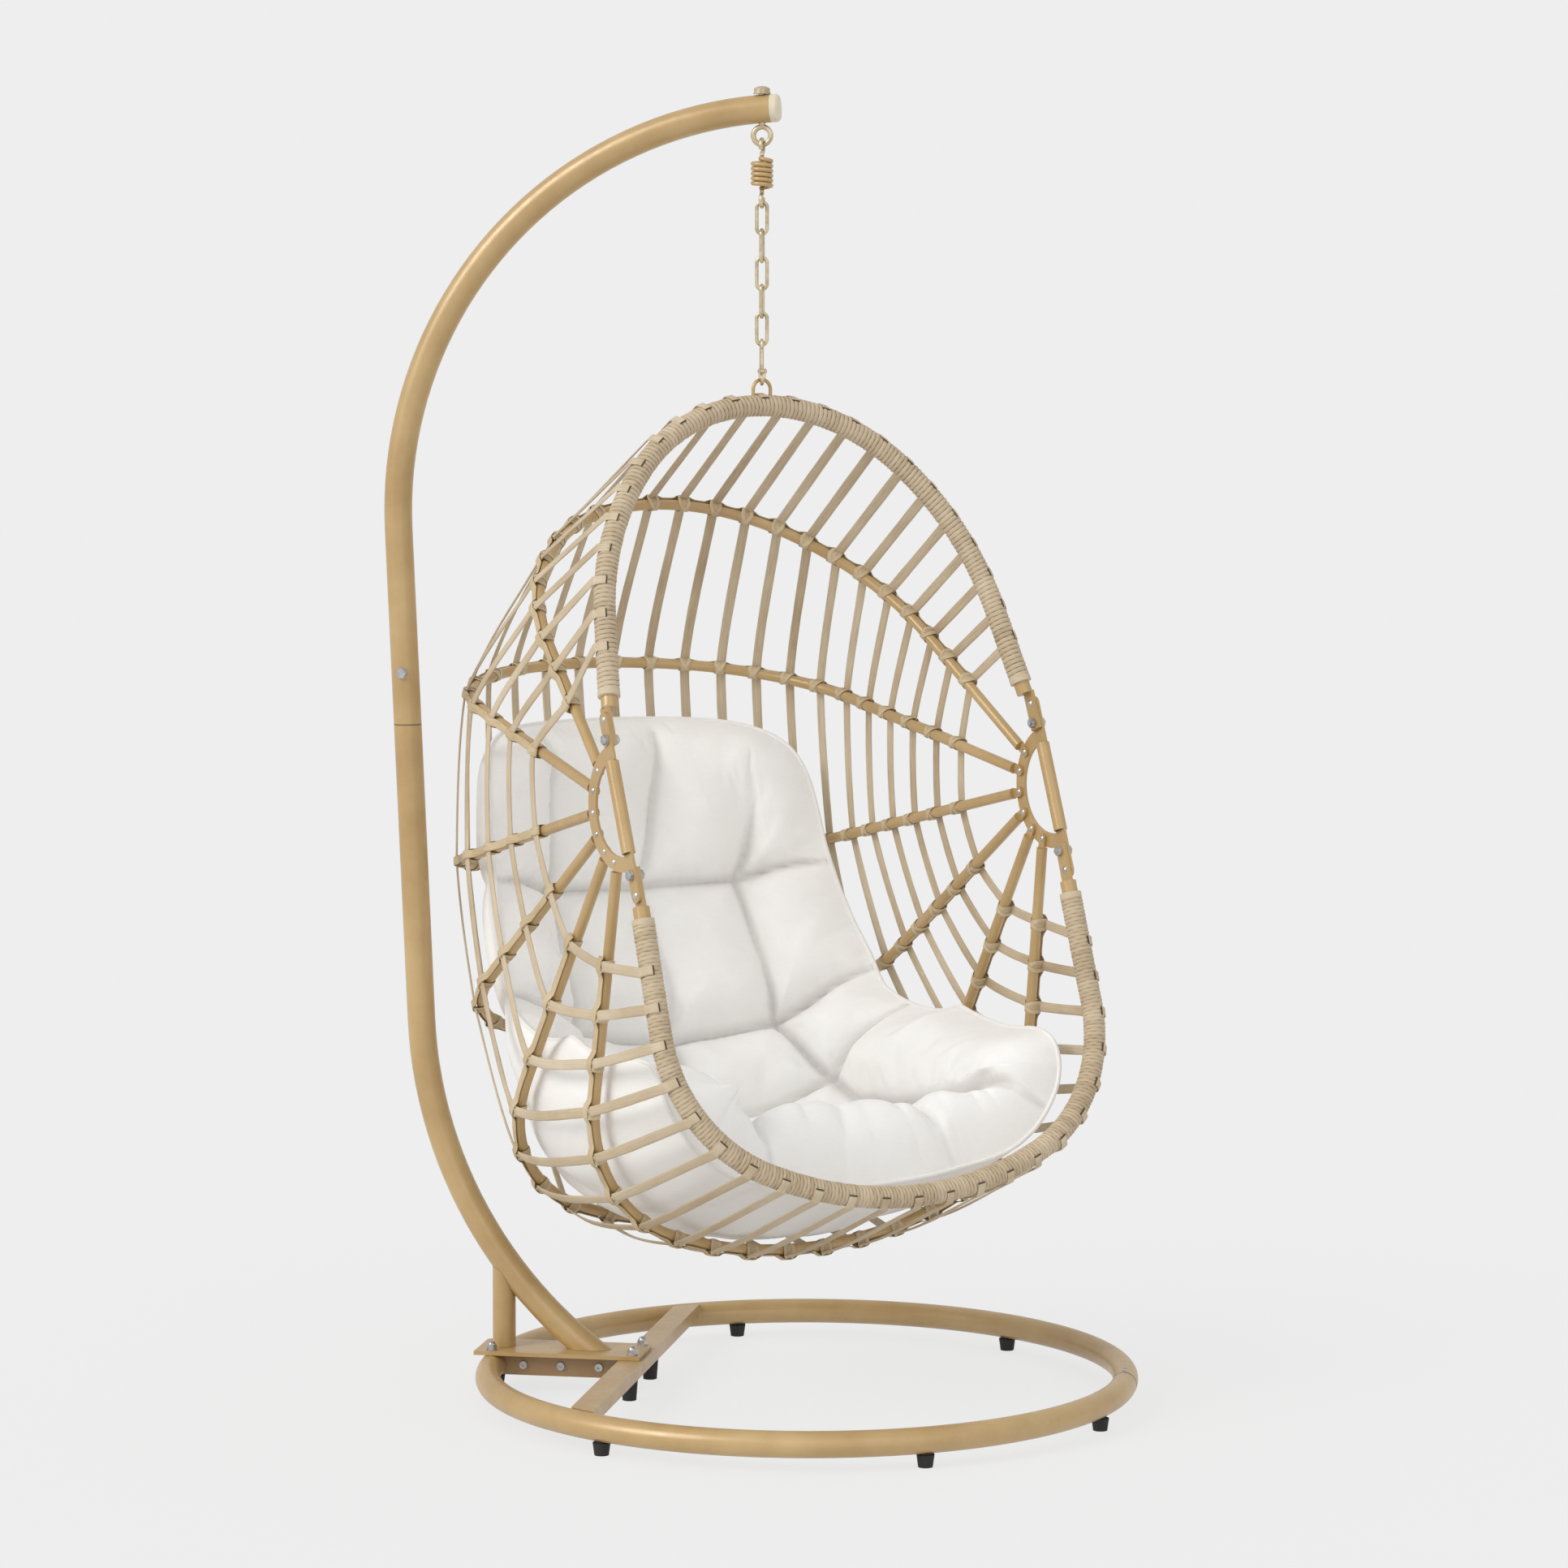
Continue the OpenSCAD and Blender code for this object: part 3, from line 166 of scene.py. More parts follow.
RIM_TOP_Z = LOOP_TOP - LOOP_RISE

# where the rims start at the hub plates, as (y, z) in the basket frame
BAR_UP = (sin(rad(HUB_LEAN)), cos(rad(HUB_LEAN)))
UP_ANGLE = degrees(acos((HUB_FRONT - BOLT_REACH * BAR_UP[0]) / UP_REACH))
HUB_Z = RIM_TOP_Z - UP_REACH * sin(rad(UP_ANGLE)) - BOLT_REACH * BAR_UP[1]
UP_ORIGIN = (-HUB_FRONT + BOLT_REACH * BAR_UP[0], HUB_Z + BOLT_REACH * BAR_UP[1])
LOW_ORIGIN = (-HUB_FRONT - BOLT_REACH * BAR_UP[0], HUB_Z - BOLT_REACH * BAR_UP[1])


# ---------- hoops and rims
class Hoop:
    """Centre line of a bent tube: a leg, a corner and half a crown on each side, in a plane that leans by
    angle and starts at origin, as (y, z) at the hubs."""

    def __init__(self, origin, angle, half_width, splay, leg, corner_r, corner_a, reach, weave):
        self.origin, self.angle, self.reach = origin, rad(angle), reach
        self.first, self.last, self.drift = weave
        self.half_width, self.splay, self.leg = half_width, rad(splay), leg
        self.corner_r, self.corner_a = corner_r, rad(corner_a)
        self.corner_x = half_width + leg * sin(self.splay) - corner_r * cos(self.splay)
        self.corner_y = leg * cos(self.splay) + corner_r * sin(self.splay)
        turned = self.splay - self.corner_a
        self.crown_r = (self.corner_x + corner_r * cos(turned)) / cos(-turned)
        self.crown_a = pi / 2 + turned
        self.crown_y = self.corner_y - corner_r * sin(turned) - self.crown_r * sin(-turned)
        self.half = leg + corner_r * self.corner_a + self.crown_r * self.crown_a

    def flat_half(self, t):
        """Point of the right half at length t, in the hoop's plane."""
        crown_start = self.leg + self.corner_r * self.corner_a
        if t < self.leg:
            return self.half_width + t * sin(self.splay), t * cos(self.splay)
        if t < crown_start:
            p = (t - self.leg) / self.corner_r - self.splay
            return self.corner_x + self.corner_r * cos(p), self.corner_y + self.corner_r * sin(p)
        p = self.corner_a - self.splay + (t - crown_start) / self.crown_r
        return self.crown_r * cos(p), self.crown_y + self.crown_r * sin(p)

    def flat(self, u):
        """Point at place u, from 0 at the left hub to 1 at the right one, in the hoop's plane."""
        if u < 0.5:
            x, y = self.flat_half(2 * u * self.half)
            return -x, y
        return self.flat_half(2 * (1 - u) * self.half)

    def at(self, u):
        """Point at place u in the basket frame."""
        x, y = self.flat(u)
        c, s = cos(self.angle), sin(self.angle)
        return np.array([x, self.origin[0] + y * c, self.origin[1] + y * s])

    def along(self, u, step=0.002):
        """Direction of the tube at place u."""
        return unit(self.at(u + step) - self.at(u - step))

    def plane_up(self):
        """Direction at right angles to the hoop's plane."""
        return np.array([0, -sin(self.angle), cos(self.angle)])

    def weave_u(self, i):
        """Place where band i crosses the hoop."""
        x = i / (STRANDS - 1)
        return self.first + (self.last - self.first) * (x + self.drift * x * (1 - x) * (1 - x))


def rivet_origin(k):
    """Rivet of hoop k on the hub plates, as (y, z)."""
    a = rad(RIVET_FIRST + RIVET_STEP * k)
    n = rad(HUB_LEAN)
    return (-HUB_FRONT + RIVET_ROW_R * (sin(a) * cos(n) + cos(a) * sin(n)),
            HUB_Z + RIVET_ROW_R * (cos(a) * cos(n) - sin(a) * sin(n)))


def upper_leg():
    """Leg of the upper rim that lets its crown end at UP_REACH."""
    splay, corner = rad(UP_SPLAY), rad(UP_CORNER_A)
    q = (1 - sin(corner - splay)) / cos(corner - splay)
    side = RIM_HALF - UP_CORNER_R * (cos(splay) - cos(splay - corner))
    rise_y = UP_CORNER_R * (sin(splay) - sin(splay - corner))
    return (UP_REACH - rise_y - q * side) / (cos(splay) + q * sin(splay))


def rib(k):
    """Hoop k, from 0 at the top."""
    return Hoop(rivet_origin(k), RIB_A[k], HUB_HALF, RIB_SPLAY[k], RIB_LEG[k], RIB_CORNER_R[k],
                RIB_CORNER_A[k], RIB_REACH, (WEAVE_FIRST[k], WEAVE_LAST[k], WEAVE_DRIFT[k]))


RIM_REACH = WRAP_D / 2 + BAND_T / 2 + STRAND_GAP
RIB_REACH = RIB_D / 2 + BAND_T / 2 + STRAND_GAP
RIBS = [rib(k) for k in range(RIBS_N)]
UPPER = Hoop(UP_ORIGIN, UP_ANGLE, RIM_HALF, UP_SPLAY, upper_leg(), UP_CORNER_R, UP_CORNER_A, RIM_REACH,
             UP_WEAVE)
LOWER = Hoop(LOW_ORIGIN, LOW_ANGLE, RIM_HALF, LOW_SPLAY, LOW_LEG, LOW_CORNER_R, LOW_CORNER_A, RIM_REACH,
             LOW_WEAVE)
WEAVE = [UPPER] + RIBS + [LOWER]
LAST_HOOP = len(WEAVE) - 1


def world(p):
    """Basket frame in millimetres to the row frame in metres."""
    p = np.asarray(p, float)
    c, s = cos(rad(BASKET_YAW)), sin(rad(BASKET_YAW))
    q = np.empty_like(p)
    q[..., 0] = (HOOK_X + c * p[..., 0] - s * p[..., 1]) / 1000
    q[..., 1] = (s * p[..., 0] + c * p[..., 1]) / 1000
    q[..., 2] = p[..., 2] / 1000
    return q


# for hoop j of WEAVE and band i: where they cross on the hoop's centre line, the hoop's and the band's
# direction there, the direction out of the basket, and the middle of the band
CROSS, HOOP_WAY, BAND_WAY, OUTWARD, BAND_MID = {}, {}, {}, {}, {}
for j, hoop in enumerate(WEAVE):
    for i in range(STRANDS):
        CROSS[j, i] = hoop.at(hoop.weave_u(i))
for j, hoop in enumerate(WEAVE):
    for i in range(STRANDS):
        HOOP_WAY[j, i] = hoop.along(hoop.weave_u(i))
        BAND_WAY[j, i] = unit(CROSS[min(j + 1, LAST_HOOP), i] - CROSS[max(j - 1, 0), i])
        OUTWARD[j, i] = unit(np.cross(HOOP_WAY[j, i], BAND_WAY[j, i]))
        BAND_MID[j, i] = CROSS[j, i] + hoop.reach * OUTWARD[j, i]


# ---------- mesh helpers
def make(name, verts, faces, mat, body="basket", slot=None, smooth=True, uvs=None, tone=None):
    """Object from points in metres, with pattern places and a tone for the material."""
    me = bpy.data.meshes.new(name)
    me.from_pydata([tuple(v) for v in verts], [], [tuple(int(q) for q in f) for f in faces])
    if uvs is not None:
        layer = me.uv_layers.new(name="UVMap")
        index = np.empty(len(me.loops), np.int32)
        me.loops.foreach_get("vertex_index", index)
        layer.data.foreach_set("uv", np.asarray(uvs, np.float32)[index].ravel())
    if tone is not None:
        attribute = me.attributes.new("tone", "FLOAT", "POINT")
        attribute.data.foreach_set("value", np.asarray(tone, np.float32))
    me.update()
    if smooth:
        me.polygons.foreach_set("use_smooth", [True] * len(me.polygons))
    ob = bpy.data.objects.new(name, me)
    scene.collection.objects.link(ob)
    me.materials.append(mat)
    if body:
        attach(ob, body)
    return ob


class Build:
    """Collects swept strips and wires into one mesh."""

    def __init__(self):
        self.points, self.faces, self.places, self.tones, self.count = [], [], [], [], 0

    def rings(self, rings, uv, tone, closed=False):
        """Adds a skin over rings of points; its ends are capped unless it is closed."""
        rings = np.asarray(rings)
        n, m = rings.shape[:2]
        base = self.count
        tone = np.asarray(tone, float)
        if tone.ndim == 1:
            tone = tone[:, None]
        self.points.append(rings.reshape(-1, 3))
        self.places.append(np.asarray(uv).reshape(-1, 2))
        self.tones.append(np.broadcast_to(tone, (n, m)).reshape(-1))
        for i in range(n if closed else n - 1):
            a, b = base + i * m, base + ((i + 1) % n) * m
            for k in range(m):
                k1 = (k + 1) % m
                self.faces.append((a + k, a + k1, b + k1, b + k))
        if not closed:
            self.faces.append(tuple(base + k for k in reversed(range(m))))
            self.faces.append(tuple(base + (n - 1) * m + k for k in range(m)))
        self.count += n * m

    def done(self, name, mat, **kw):
        """The collected mesh as an object."""
        return make(name, np.vstack(self.points), self.faces, mat, uvs=np.vstack(self.places),
                    tone=np.concatenate(self.tones), **kw)


def tangents(path, closed=False):
    """Direction of a path at each of its points."""
    if closed:
        return units(np.roll(path, -1, 0) - np.roll(path, 1, 0))
    return units(np.gradient(path, axis=0))


# section of a flat strip with rounded edges, as shares of its width and of half its thickness, and where
# these points lie in the material's pattern
STRIP_SECTION = np.array([(-.5, 0), (-.46, .62), (-.3, .94), (0, 1), (.3, .94), (.46, .62),
                          (.5, 0), (.46, -.62), (.3, -.94), (0, -1), (-.3, -.94), (-.46, -.62)])
STRIP_V = np.array([0, .08, .2, .35, .5, .62, .7, .74, .8, .86, .92, .97])


def strip(build, path, out, width, thick, tone, closed=False, u0=0.0):
    """Sweeps a flat strip with rounded edges; out is the way its broad face looks."""
    path = np.asarray(path, float)
    n = len(path)
    t = tangents(path, closed)
    across = units(np.cross(t, np.asarray(out, float)))
    up = np.cross(across, t)
    width = np.broadcast_to(width, (n,))[:, None, None]
    thick = np.broadcast_to(thick, (n,))[:, None, None]
    rings = (path[:, None, :] + across[:, None, :] * (STRIP_SECTION[None, :, :1] * width)
             + up[:, None, :] * (STRIP_SECTION[None, :, 1:] * thick / 2))
    length = np.linalg.norm(np.diff(path, axis=0), axis=1)
    u = u0 + np.concatenate([[0], np.cumsum(length)]) / 1000
    uv = np.stack(np.broadcast_arrays(u[:, None], STRIP_V[None, :]), -1)
    build.rings(world(rings), uv, tone, closed=closed)


def wire_rings(path, a, c, r, sides):
    """Rings round a path in the plane of directions a and c; r is a radius, or one for each point."""
    angle = 2 * np.pi * np.arange(sides) / sides
    way = a[:, None, :] * np.cos(angle)[None, :, None] + c[:, None, :] * np.sin(angle)[None, :, None]
    return path[:, None, :] + way * np.asarray(r)[..., None]


def wire(build, path, r, sides, ref, place, uv_step, closed=False):
    """Sweeps a round wire; place turns its points into metres of the row frame."""
    t = tangents(path, closed)
    a = units(np.cross(t, ref))
    rings = wire_rings(path, a, np.cross(a, t), r, sides)
    turn = np.arange(sides) / sides
    uv = np.stack(np.broadcast_arrays(np.arange(len(path))[:, None] * uv_step, turn[None, :]), -1)
    build.rings(place(rings), uv, 0.5, closed=closed)


def catmull(points, steps):
    """Smooth line through points, with so many steps from one to the next."""
    points = np.asarray(points, float)
    q = np.vstack([2 * points[0] - points[1], points, 2 * points[-1] - points[-2]])
    out = []
    for i in range(1, len(q) - 2):
        a, b, c, d = q[i - 1:i + 3]
        for s in range(steps):
            t = s / steps
            out.append(0.5 * (2 * b + (c - a) * t + (2 * a - 5 * b + 4 * c - d) * t * t
                              + (3 * b - a - 3 * c + d) * t ** 3))
    out.append(points[-1])
    return np.array(out)


def rise(x, start, length):
    """0 up to start, 1 from start + length on, and straight between them."""
    return np.clip((x - start) / length, 0, 1)


# ---------- materials
def linear(r, g, b):
    """Colour from its values in a picture, 0 to 255."""
    def one(c):
        c /= 255
        return c / 12.92 if c <= 0.04045 else ((c + 0.055) / 1.055) ** 2.4
    return one(r), one(g), one(b), 1


class Nodes:
    """Small helper around a node tree."""

    def __init__(self, tree):
        self.tree = tree

    def node(self, kind, inputs=(), **kw):
        """New node; inputs are its first sockets, and a keyword is a socket or else a setting."""
        n = self.tree.nodes.new(kind)
        for k, x in list(enumerate(inputs)) + list(kw.items()):
            if isinstance(k, int) or k in n.inputs:
                self.put(n.inputs[k], x)
            else:
                setattr(n, k, x)
        return n

    def link(self, a, b):
        self.tree.links.new(a, b)

    def put(self, socket, x):
        """Gives a socket a plain value or what another node puts out."""
        if isinstance(x, (int, float, tuple)):
            socket.default_value = x
        else:
            self.link(x, socket)

    def math(self, op, inputs, clamp=False):
        return self.node("ShaderNodeMath", inputs, operation=op, use_clamp=clamp).outputs[0]

    def mix_shader(self, share, first, second):
        return self.node("ShaderNodeMixShader", (share, first, second)).outputs[0]


class Mat(Nodes):
    """A new material, or a copy of one, with its main shader as surface."""

    def __init__(self, name=None, like=None):
        if like:
            self.mat = like.copy()
        else:
            self.mat = bpy.data.materials.new(name)
            self.mat.use_nodes = True
        super().__init__(self.mat.node_tree)
        self.surface = self.tree.nodes["Principled BSDF"]

    def set(self, name, x):
        self.put(self.surface.inputs[name], x)

    def coords(self, kind="Object", scale=(1, 1, 1)):
        place = self.node("ShaderNodeTexCoord").outputs[kind]
        return self.node("ShaderNodeMapping", Vector=place, Scale=scale).outputs["Vector"]

    def noise(self, place, scale, detail, rough, distortion=0.0):
        return self.node("ShaderNodeTexNoise", Vector=place, Scale=scale, Detail=detail, Roughness=rough,
                         Distortion=distortion).outputs["Fac"]

    def ramp(self, fac, stops):
        n = self.node("ShaderNodeValToRGB", Fac=fac)
        e = n.color_ramp.elements
        while len(e) < len(stops):
            e.new(0.5)
        for k, (pos, col) in enumerate(stops):
            e[k].position = pos
            e[k].color = col if len(col) == 4 else (*col, 1)
        return n.outputs["Color"]

    def mix(self, fac, a, b, blend="MIX"):
        n = self.node("ShaderNodeMix", data_type="RGBA", blend_type=blend)
        for socket, x in ((n.inputs[0], fac), (n.inputs[6], a), (n.inputs[7], b)):
            self.put(socket, x)
        return n.outputs[2]

    def bump(self, height, strength, distance, normal=None):
        below = {} if normal is None else {"Normal": normal}
        n = self.node("ShaderNodeBump", Height=height, Strength=strength, Distance=distance, **below)
        return n.outputs["Normal"]

    def map_range(self, x, a, b, c, d):
        """Turns the range a to b into c to d."""
        return self.node("ShaderNodeMapRange", (x, a, b, c, d)).outputs["Result"]

    def tone(self):
        """The tone that a mesh carries at each point."""
        return self.node("ShaderNodeAttribute", attribute_name="tone").outputs["Fac"]


def paint(name, base, dark, light, rough):
    """Powder coat: a fine skin, slow changes of tone and rubbed places."""
    m = Mat(name)
    place = m.coords()
    slow = m.noise(place, 7.0, 4, 0.6)
    fine = m.noise(place, 900.0, 2, 0.5)
    rub = m.noise(place, 55.0, 5, 0.7)
    col = m.ramp(slow, [(0.28, dark), (0.5, base), (0.74, light)])
    speck = m.ramp(fine, [(0.35, (0.93, 0.93, 0.93)), (0.65, (1.04, 1.04, 1.04))])
    col = m.mix(0.6, col, speck, "MULTIPLY")
    col = m.mix(m.map_range(rub, 0.66, 0.78, 0.0, 0.35), col, light)
    m.set("Base Color", col)
    m.set("Roughness", m.map_range(rub, 0.3, 0.8, rough - 0.07, rough + 0.12))
    m.set("Normal", m.bump(fine, 0.25, 0.0004))
    m.set("Metallic", 0.12)
    m.set("Specular IOR Level", 1.0)
    return m.mat


def metal(name, base, dark, rough, metallic=0.95):
    """Plated steel: soft stains and fine brushed lines."""
    m = Mat(name)
    stain = m.noise(m.coords(), 60.0, 6, 0.65)
    brushed = m.noise(m.coords("Object", (1, 1, 0.15)), 700.0, 2, 0.5)
    m.set("Base Color", m.ramp(stain, [(0.3, dark), (0.62, base)]))
    m.set("Roughness", m.map_range(stain, 0.25, 0.8, rough - 0.06, rough + 0.2))
    m.set("Normal", m.bump(brushed, 0.12, 0.0003))
    m.set("Metallic", metallic)
    return m.mat


def wicker(name, pale, mid, brown, streak=(14.0, 34.0), bump=0.5, shade_colour=None):
    """Moulded wicker: fibres run along it, its tone changes slowly, and a low tone is darker; the lowest
    tones are painted shade.
    """
    m = Mat(name)
    fibre = m.noise(m.coords("UV", (streak[0], streak[1], 1)), 1.0, 5, 0.65, 0.25)
    fine = m.noise(m.coords("UV", (streak[0] * 2.2, streak[1] * 2.6, 1)), 1.0, 3, 0.6)
    slow = m.noise(m.coords(), 9.0, 4, 0.6)
    tone = m.math("ADD", (m.math("MULTIPLY", (slow, 0.55)), m.math("MULTIPLY", (m.tone(), 0.5))))
    col = m.ramp(tone, [(0.02, shade_colour or brown), (0.22, brown), (0.5, mid), (0.82, pale)])
    lines = m.ramp(fibre, [(0.3, (0.70, 0.66, 0.60)), (0.5, (0.97, 0.965, 0.96)), (0.72, (1.08, 1.08, 1.07))])
    m.set("Base Color", m.mix(0.75, col, lines, "MULTIPLY"))
    height = m.math("ADD", (m.math("MULTIPLY", (fibre, 0.7)), m.math("MULTIPLY", (fine, 0.4))))
    m.set("Normal", m.bump(height, bump, 0.0009))
    m.set("Roughness", m.map_range(fibre, 0.3, 0.8, 0.72, 0.55))
    m.set("Specular IOR Level", 0.35)
    return m.mat


def threads(m, place, direction):
    """Fine stripes of one set of threads in a woven cloth."""
    return m.node("ShaderNodeTexWave", wave_type="BANDS", bands_direction=direction, Vector=place, Scale=260,
                  Distortion=0.6, Detail=1.0, **{"Detail Scale": 1.5}).outputs["Fac"]


def cloth(name, base, shade):
    """Plain woven cover: thread by thread bump, soft slubs, a little nap, and shade in the seams."""
    m = Mat(name)
    place = m.coords()
    weave = m.math("MULTIPLY", (threads(m, place, "X"), threads(m, place, "Z")))
    slub = m.noise(m.coords("Object", (1, 1, 6)), 70.0, 4, 0.6)
    slow = m.noise(place, 6.0, 3, 0.5)
    thread_tint = m.ramp(weave, [(0.0, (0.95, 0.948, 0.944)), (0.6, (1, 1, 1))])
    slub_tint = m.ramp(slub, [(0.35, (0.94, 0.935, 0.925)), (0.65, (1, 1, 1))])
    # painted shade in the seams' grooves, from the tone of the upper face
    seam_shade = m.ramp(m.tone(), [(0.0, (0.70, 0.68, 0.66)), (0.16, (0.86, 0.85, 0.84)), (0.42, (1, 1, 1))])
    col = m.ramp(slow, [(0.3, shade), (0.7, base)])
    col = m.mix(0.8, col, thread_tint, "MULTIPLY")
    col = m.mix(0.25, col, slub_tint, "MULTIPLY")
    m.set("Base Color", m.mix(1.0, col, seam_shade, "MULTIPLY"))
    bump = m.bump(weave, 0.35, 0.0005)
    bump = m.bump(slub, 0.18, 0.0010, bump)
    m.set("Normal", m.bump(m.noise(place, 26.0, 4, 0.55), 0.30, 0.006, bump))
    m.set("Roughness", m.map_range(slub, 0.3, 0.7, 0.82, 0.92))
    m.set("Sheen Weight", 0.25)
    m.set("Sheen Roughness", 0.5)
    m.set("Specular IOR Level", 0.2)
    return m.mat


def plastic(name, base, dark, rough, grain=600.0):
    """Moulded plastic or rubber with a fine grain."""
    m = Mat(name)
    slow = m.noise(m.coords(), 25.0, 4, 0.6)
    m.set("Base Color", m.ramp(slow, [(0.3, dark), (0.7, base)]))
    m.set("Roughness", m.map_range(slow, 0.3, 0.7, rough - 0.06, rough + 0.1))
    m.set("Normal", m.bump(m.noise(m.coords(), grain, 2, 0.5), 0.3, 0.0004))
    return m.mat


def seam_line(mat, origin, axis, half, dark):
    """Copy of a material with a fine line round a tube, where two pieces of it meet at a plane."""
    m = Mat(like=mat)
    offset = m.node("ShaderNodeVectorMath", (m.coords(), origin), operation="SUBTRACT").outputs["Vector"]
    height = m.node("ShaderNodeVectorMath", (offset, axis), operation="DOT_PRODUCT").outputs["Value"]
    line = m.map_range(m.math("ABSOLUTE", (height,)), half * 0.6, half, 1.0, 0.0)
    old = m.surface.inputs["Base Color"].links[0].from_socket
    m.set("Base Color", m.mix(line, old, dark))
    return m.mat


M_FRAME = paint("frame_paint", linear(183, 151, 98), linear(170, 137, 83), linear(195, 166, 114), 0.34)
# the base beam gets a darker copy of the frame paint: painted shade on its face
M_BEAM_SHADE = paint("shaded_paint", linear(150, 118, 76), linear(138, 106, 66), linear(160, 128, 86), 0.4)
M_CHAIN = metal("chain_steel", linear(222, 208, 178), linear(176, 158, 122), 0.26, 0.85)
M_STEEL = metal("bright_steel", linear(205, 205, 206), linear(150, 150, 152), 0.25)
# the last colours of wicker and wicker_cord are painted shade, for the bands' tucked ends and the cord's
# grooves
M_WICKER = wicker("wicker", linear(214, 200, 176), linear(196, 178, 150), linear(168, 146, 116),
                  shade_colour=linear(84, 68, 50))
M_CORD = wicker("wicker_cord", linear(212, 197, 173), linear(192, 174, 146), linear(148, 127, 99),
                (60.0, 9.0), 0.3, linear(92, 76, 56))
M_LASH = wicker("wicker_lash", linear(212, 196, 166), linear(197, 177, 143), linear(170, 146, 110),
                (40.0, 14.0), 0.35)
M_CLOTH = cloth("cushion_cloth", linear(251, 251, 250), linear(247, 246, 244))
M_PIPING = cloth("cushion_piping", linear(246, 245, 242), linear(240, 238, 234))
M_RUBBER = plastic("black_rubber", linear(44, 43, 42), linear(30, 30, 30), 0.72)
M_CAP = plastic("cap_plastic", linear(224, 214, 192), linear(212, 200, 175), 0.42)
POST_JOINT_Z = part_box("upper_post")[0][2]
M_POST = seam_line(M_FRAME, (0, 0, POST_JOINT_Z), (0, 0, 1), 0.0013, linear(120, 92, 56))
M_RING = seam_line(M_FRAME, (0, 0, 0), (0, 1, 0), 0.0032, linear(52, 40, 26))

BY_SLOT = {"frame_paint": M_FRAME, "bright_steel": M_STEEL, "chain_steel": M_CHAIN, "wicker": M_WICKER,
           "cushion_cloth": M_CLOTH, "black_rubber": M_RUBBER, "cap_plastic": M_CAP}
BY_NODE = {"upper_post": M_POST, "lower_post": M_POST, "base_ring_rear": M_RING, "base_ring_front": M_RING,
           "base_beam": M_BEAM_SHADE}
CHAIN_NODES = ["eye_bolt", "eye_bolt_nut", "spring_upper_hook", "spring_lower_hook", "snap_hook", "snap_gate",
               "gate_pin"] + ["chain_link_%d" % k for k in range(1, LINKS + 1)]
BY_NODE.update({name: M_CHAIN for name in CHAIN_NODES})
for name, ob in NODES.items():
    ob.data.materials.clear()
    ob.data.materials.append(BY_NODE.get(name, BY_SLOT[SLOT[name]]))

# ---------- woven bands
BAND_STEPS = 9
LAP_STEPS = 16
LAP_A = {0: 74, LAST_HOOP: 76}
LAP_LIFT = {0: -0.1, LAST_HOOP: 0.35}
LAP_W = 13.2
BAND_GROUPS = (("woven_bands_left", range(0, 11), "bands_left"),
               ("woven_band_centre", range(11, 12), "band_centre"),
               ("woven_bands_right", range(12, STRANDS), "bands_right"))
rnd = random.Random(11)


def pulled(p):
    """Taut band: straight to the first hoop, then halfway between straight lines and a smooth one."""
    steps = [p[j] + (p[j + 1] - p[j]) * q / BAND_STEPS for j in range(len(p) - 1) for q in range(BAND_STEPS)]
    line = np.vstack(steps + [p[-1]])
    bent = np.vstack([line[:BAND_STEPS], catmull(p[1:], BAND_STEPS)])
    return 0.5 * (line + bent)


def lap(j, i, way):
    """End of band i, wound closely round rim j; way is -1 at the upper rim and 1 at the lower one."""
    middle, out, hoop_way, band_way = CROSS[j, i], OUTWARD[j, i], HOOP_WAY[j, i], BAND_WAY[j, i]
    inward = way * unit(band_way - out * np.dot(band_way, out) - hoop_way * np.dot(band_way, hoop_way))
    path, outs = [], []
    for s in range(1, LAP_STEPS + 1):
        t = s / LAP_STEPS
        a = rad(LAP_A[j]) * t
        r = RIM_REACH + (WRAP_D / 2 + LAP_LIFT[j] - RIM_REACH) * min(1, t * 3)
        n = out * cos(a) + inward * sin(a)
        path.append(middle + n * r)
        outs.append(n)
    return path, outs


def band_path(i):
    """Points and broad-face directions of band i: over the six hoops and round both rims."""
    path = pulled([BAND_MID[j, i] for j in range(len(WEAVE))])
    outs = pulled([OUTWARD[j, i] for j in range(len(WEAVE))])
    upper_path, upper_outs = lap(0, i, -1)
    lower_path, lower_outs = lap(LAST_HOOP, i, 1)
    path = np.vstack([upper_path[::-1], path, lower_path])
    return path, units(np.vstack([upper_outs[::-1], outs, lower_outs]))


def band_group(name, ids, node):
    """The bands of one CAD node; near is how many points lie between a point and its band's end."""
    b = Build()
    for i in ids:
        path, outs = band_path(i)
        k = np.arange(len(path))
        near = np.minimum(k, len(path) - 1 - k)
        width = np.where(near < 14, LAP_W, BAND_W)
        width = width + 0.35 * np.sin(k * 0.9 + i) + 0.25 * np.sin(k * 2.3 + 2 * i)
        thick = np.interp(near, [0, 12, 20], [1.2, 1.5, BAND_THICK])
        tone = 0.5 + 0.35 * (rnd.random() - 0.5) + 0.10 * np.sin(k * 0.35 + i * 1.7)
        tone = np.where(near < LAP_STEPS, tone + 0.12, tone)
        # painted shadow: the last two points at each end go dark, for the slot where the band's end tucks
        # into the wrap
        tone = np.where(near < 2, -1.2, tone)
        strip(b, path, outs, width, thick, tone, u0=i * 3.7)
    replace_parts(b.done(name, M_WICKER, slot="wicker"), node)


for name, ids, node in BAND_GROUPS:
    band_group(name, ids, node)

# ---------- lashings and cover strips on the hoops
RIB_R = RIB_D / 2
LASH_POINTS = 22
LASH_THICK = 0.8
LASH_LIFT = 0.55
# the three turns at a crossing: which way it leans, how much farther out it lies, and its width
LASH_TURNS = ((0, -0.1, 14.5), (1, 0.45, 6.2), (-1, 0.95, 6.2))
COVER_STEPS = 260
COVER_W = 12.6
COVER_THICK = 1.5


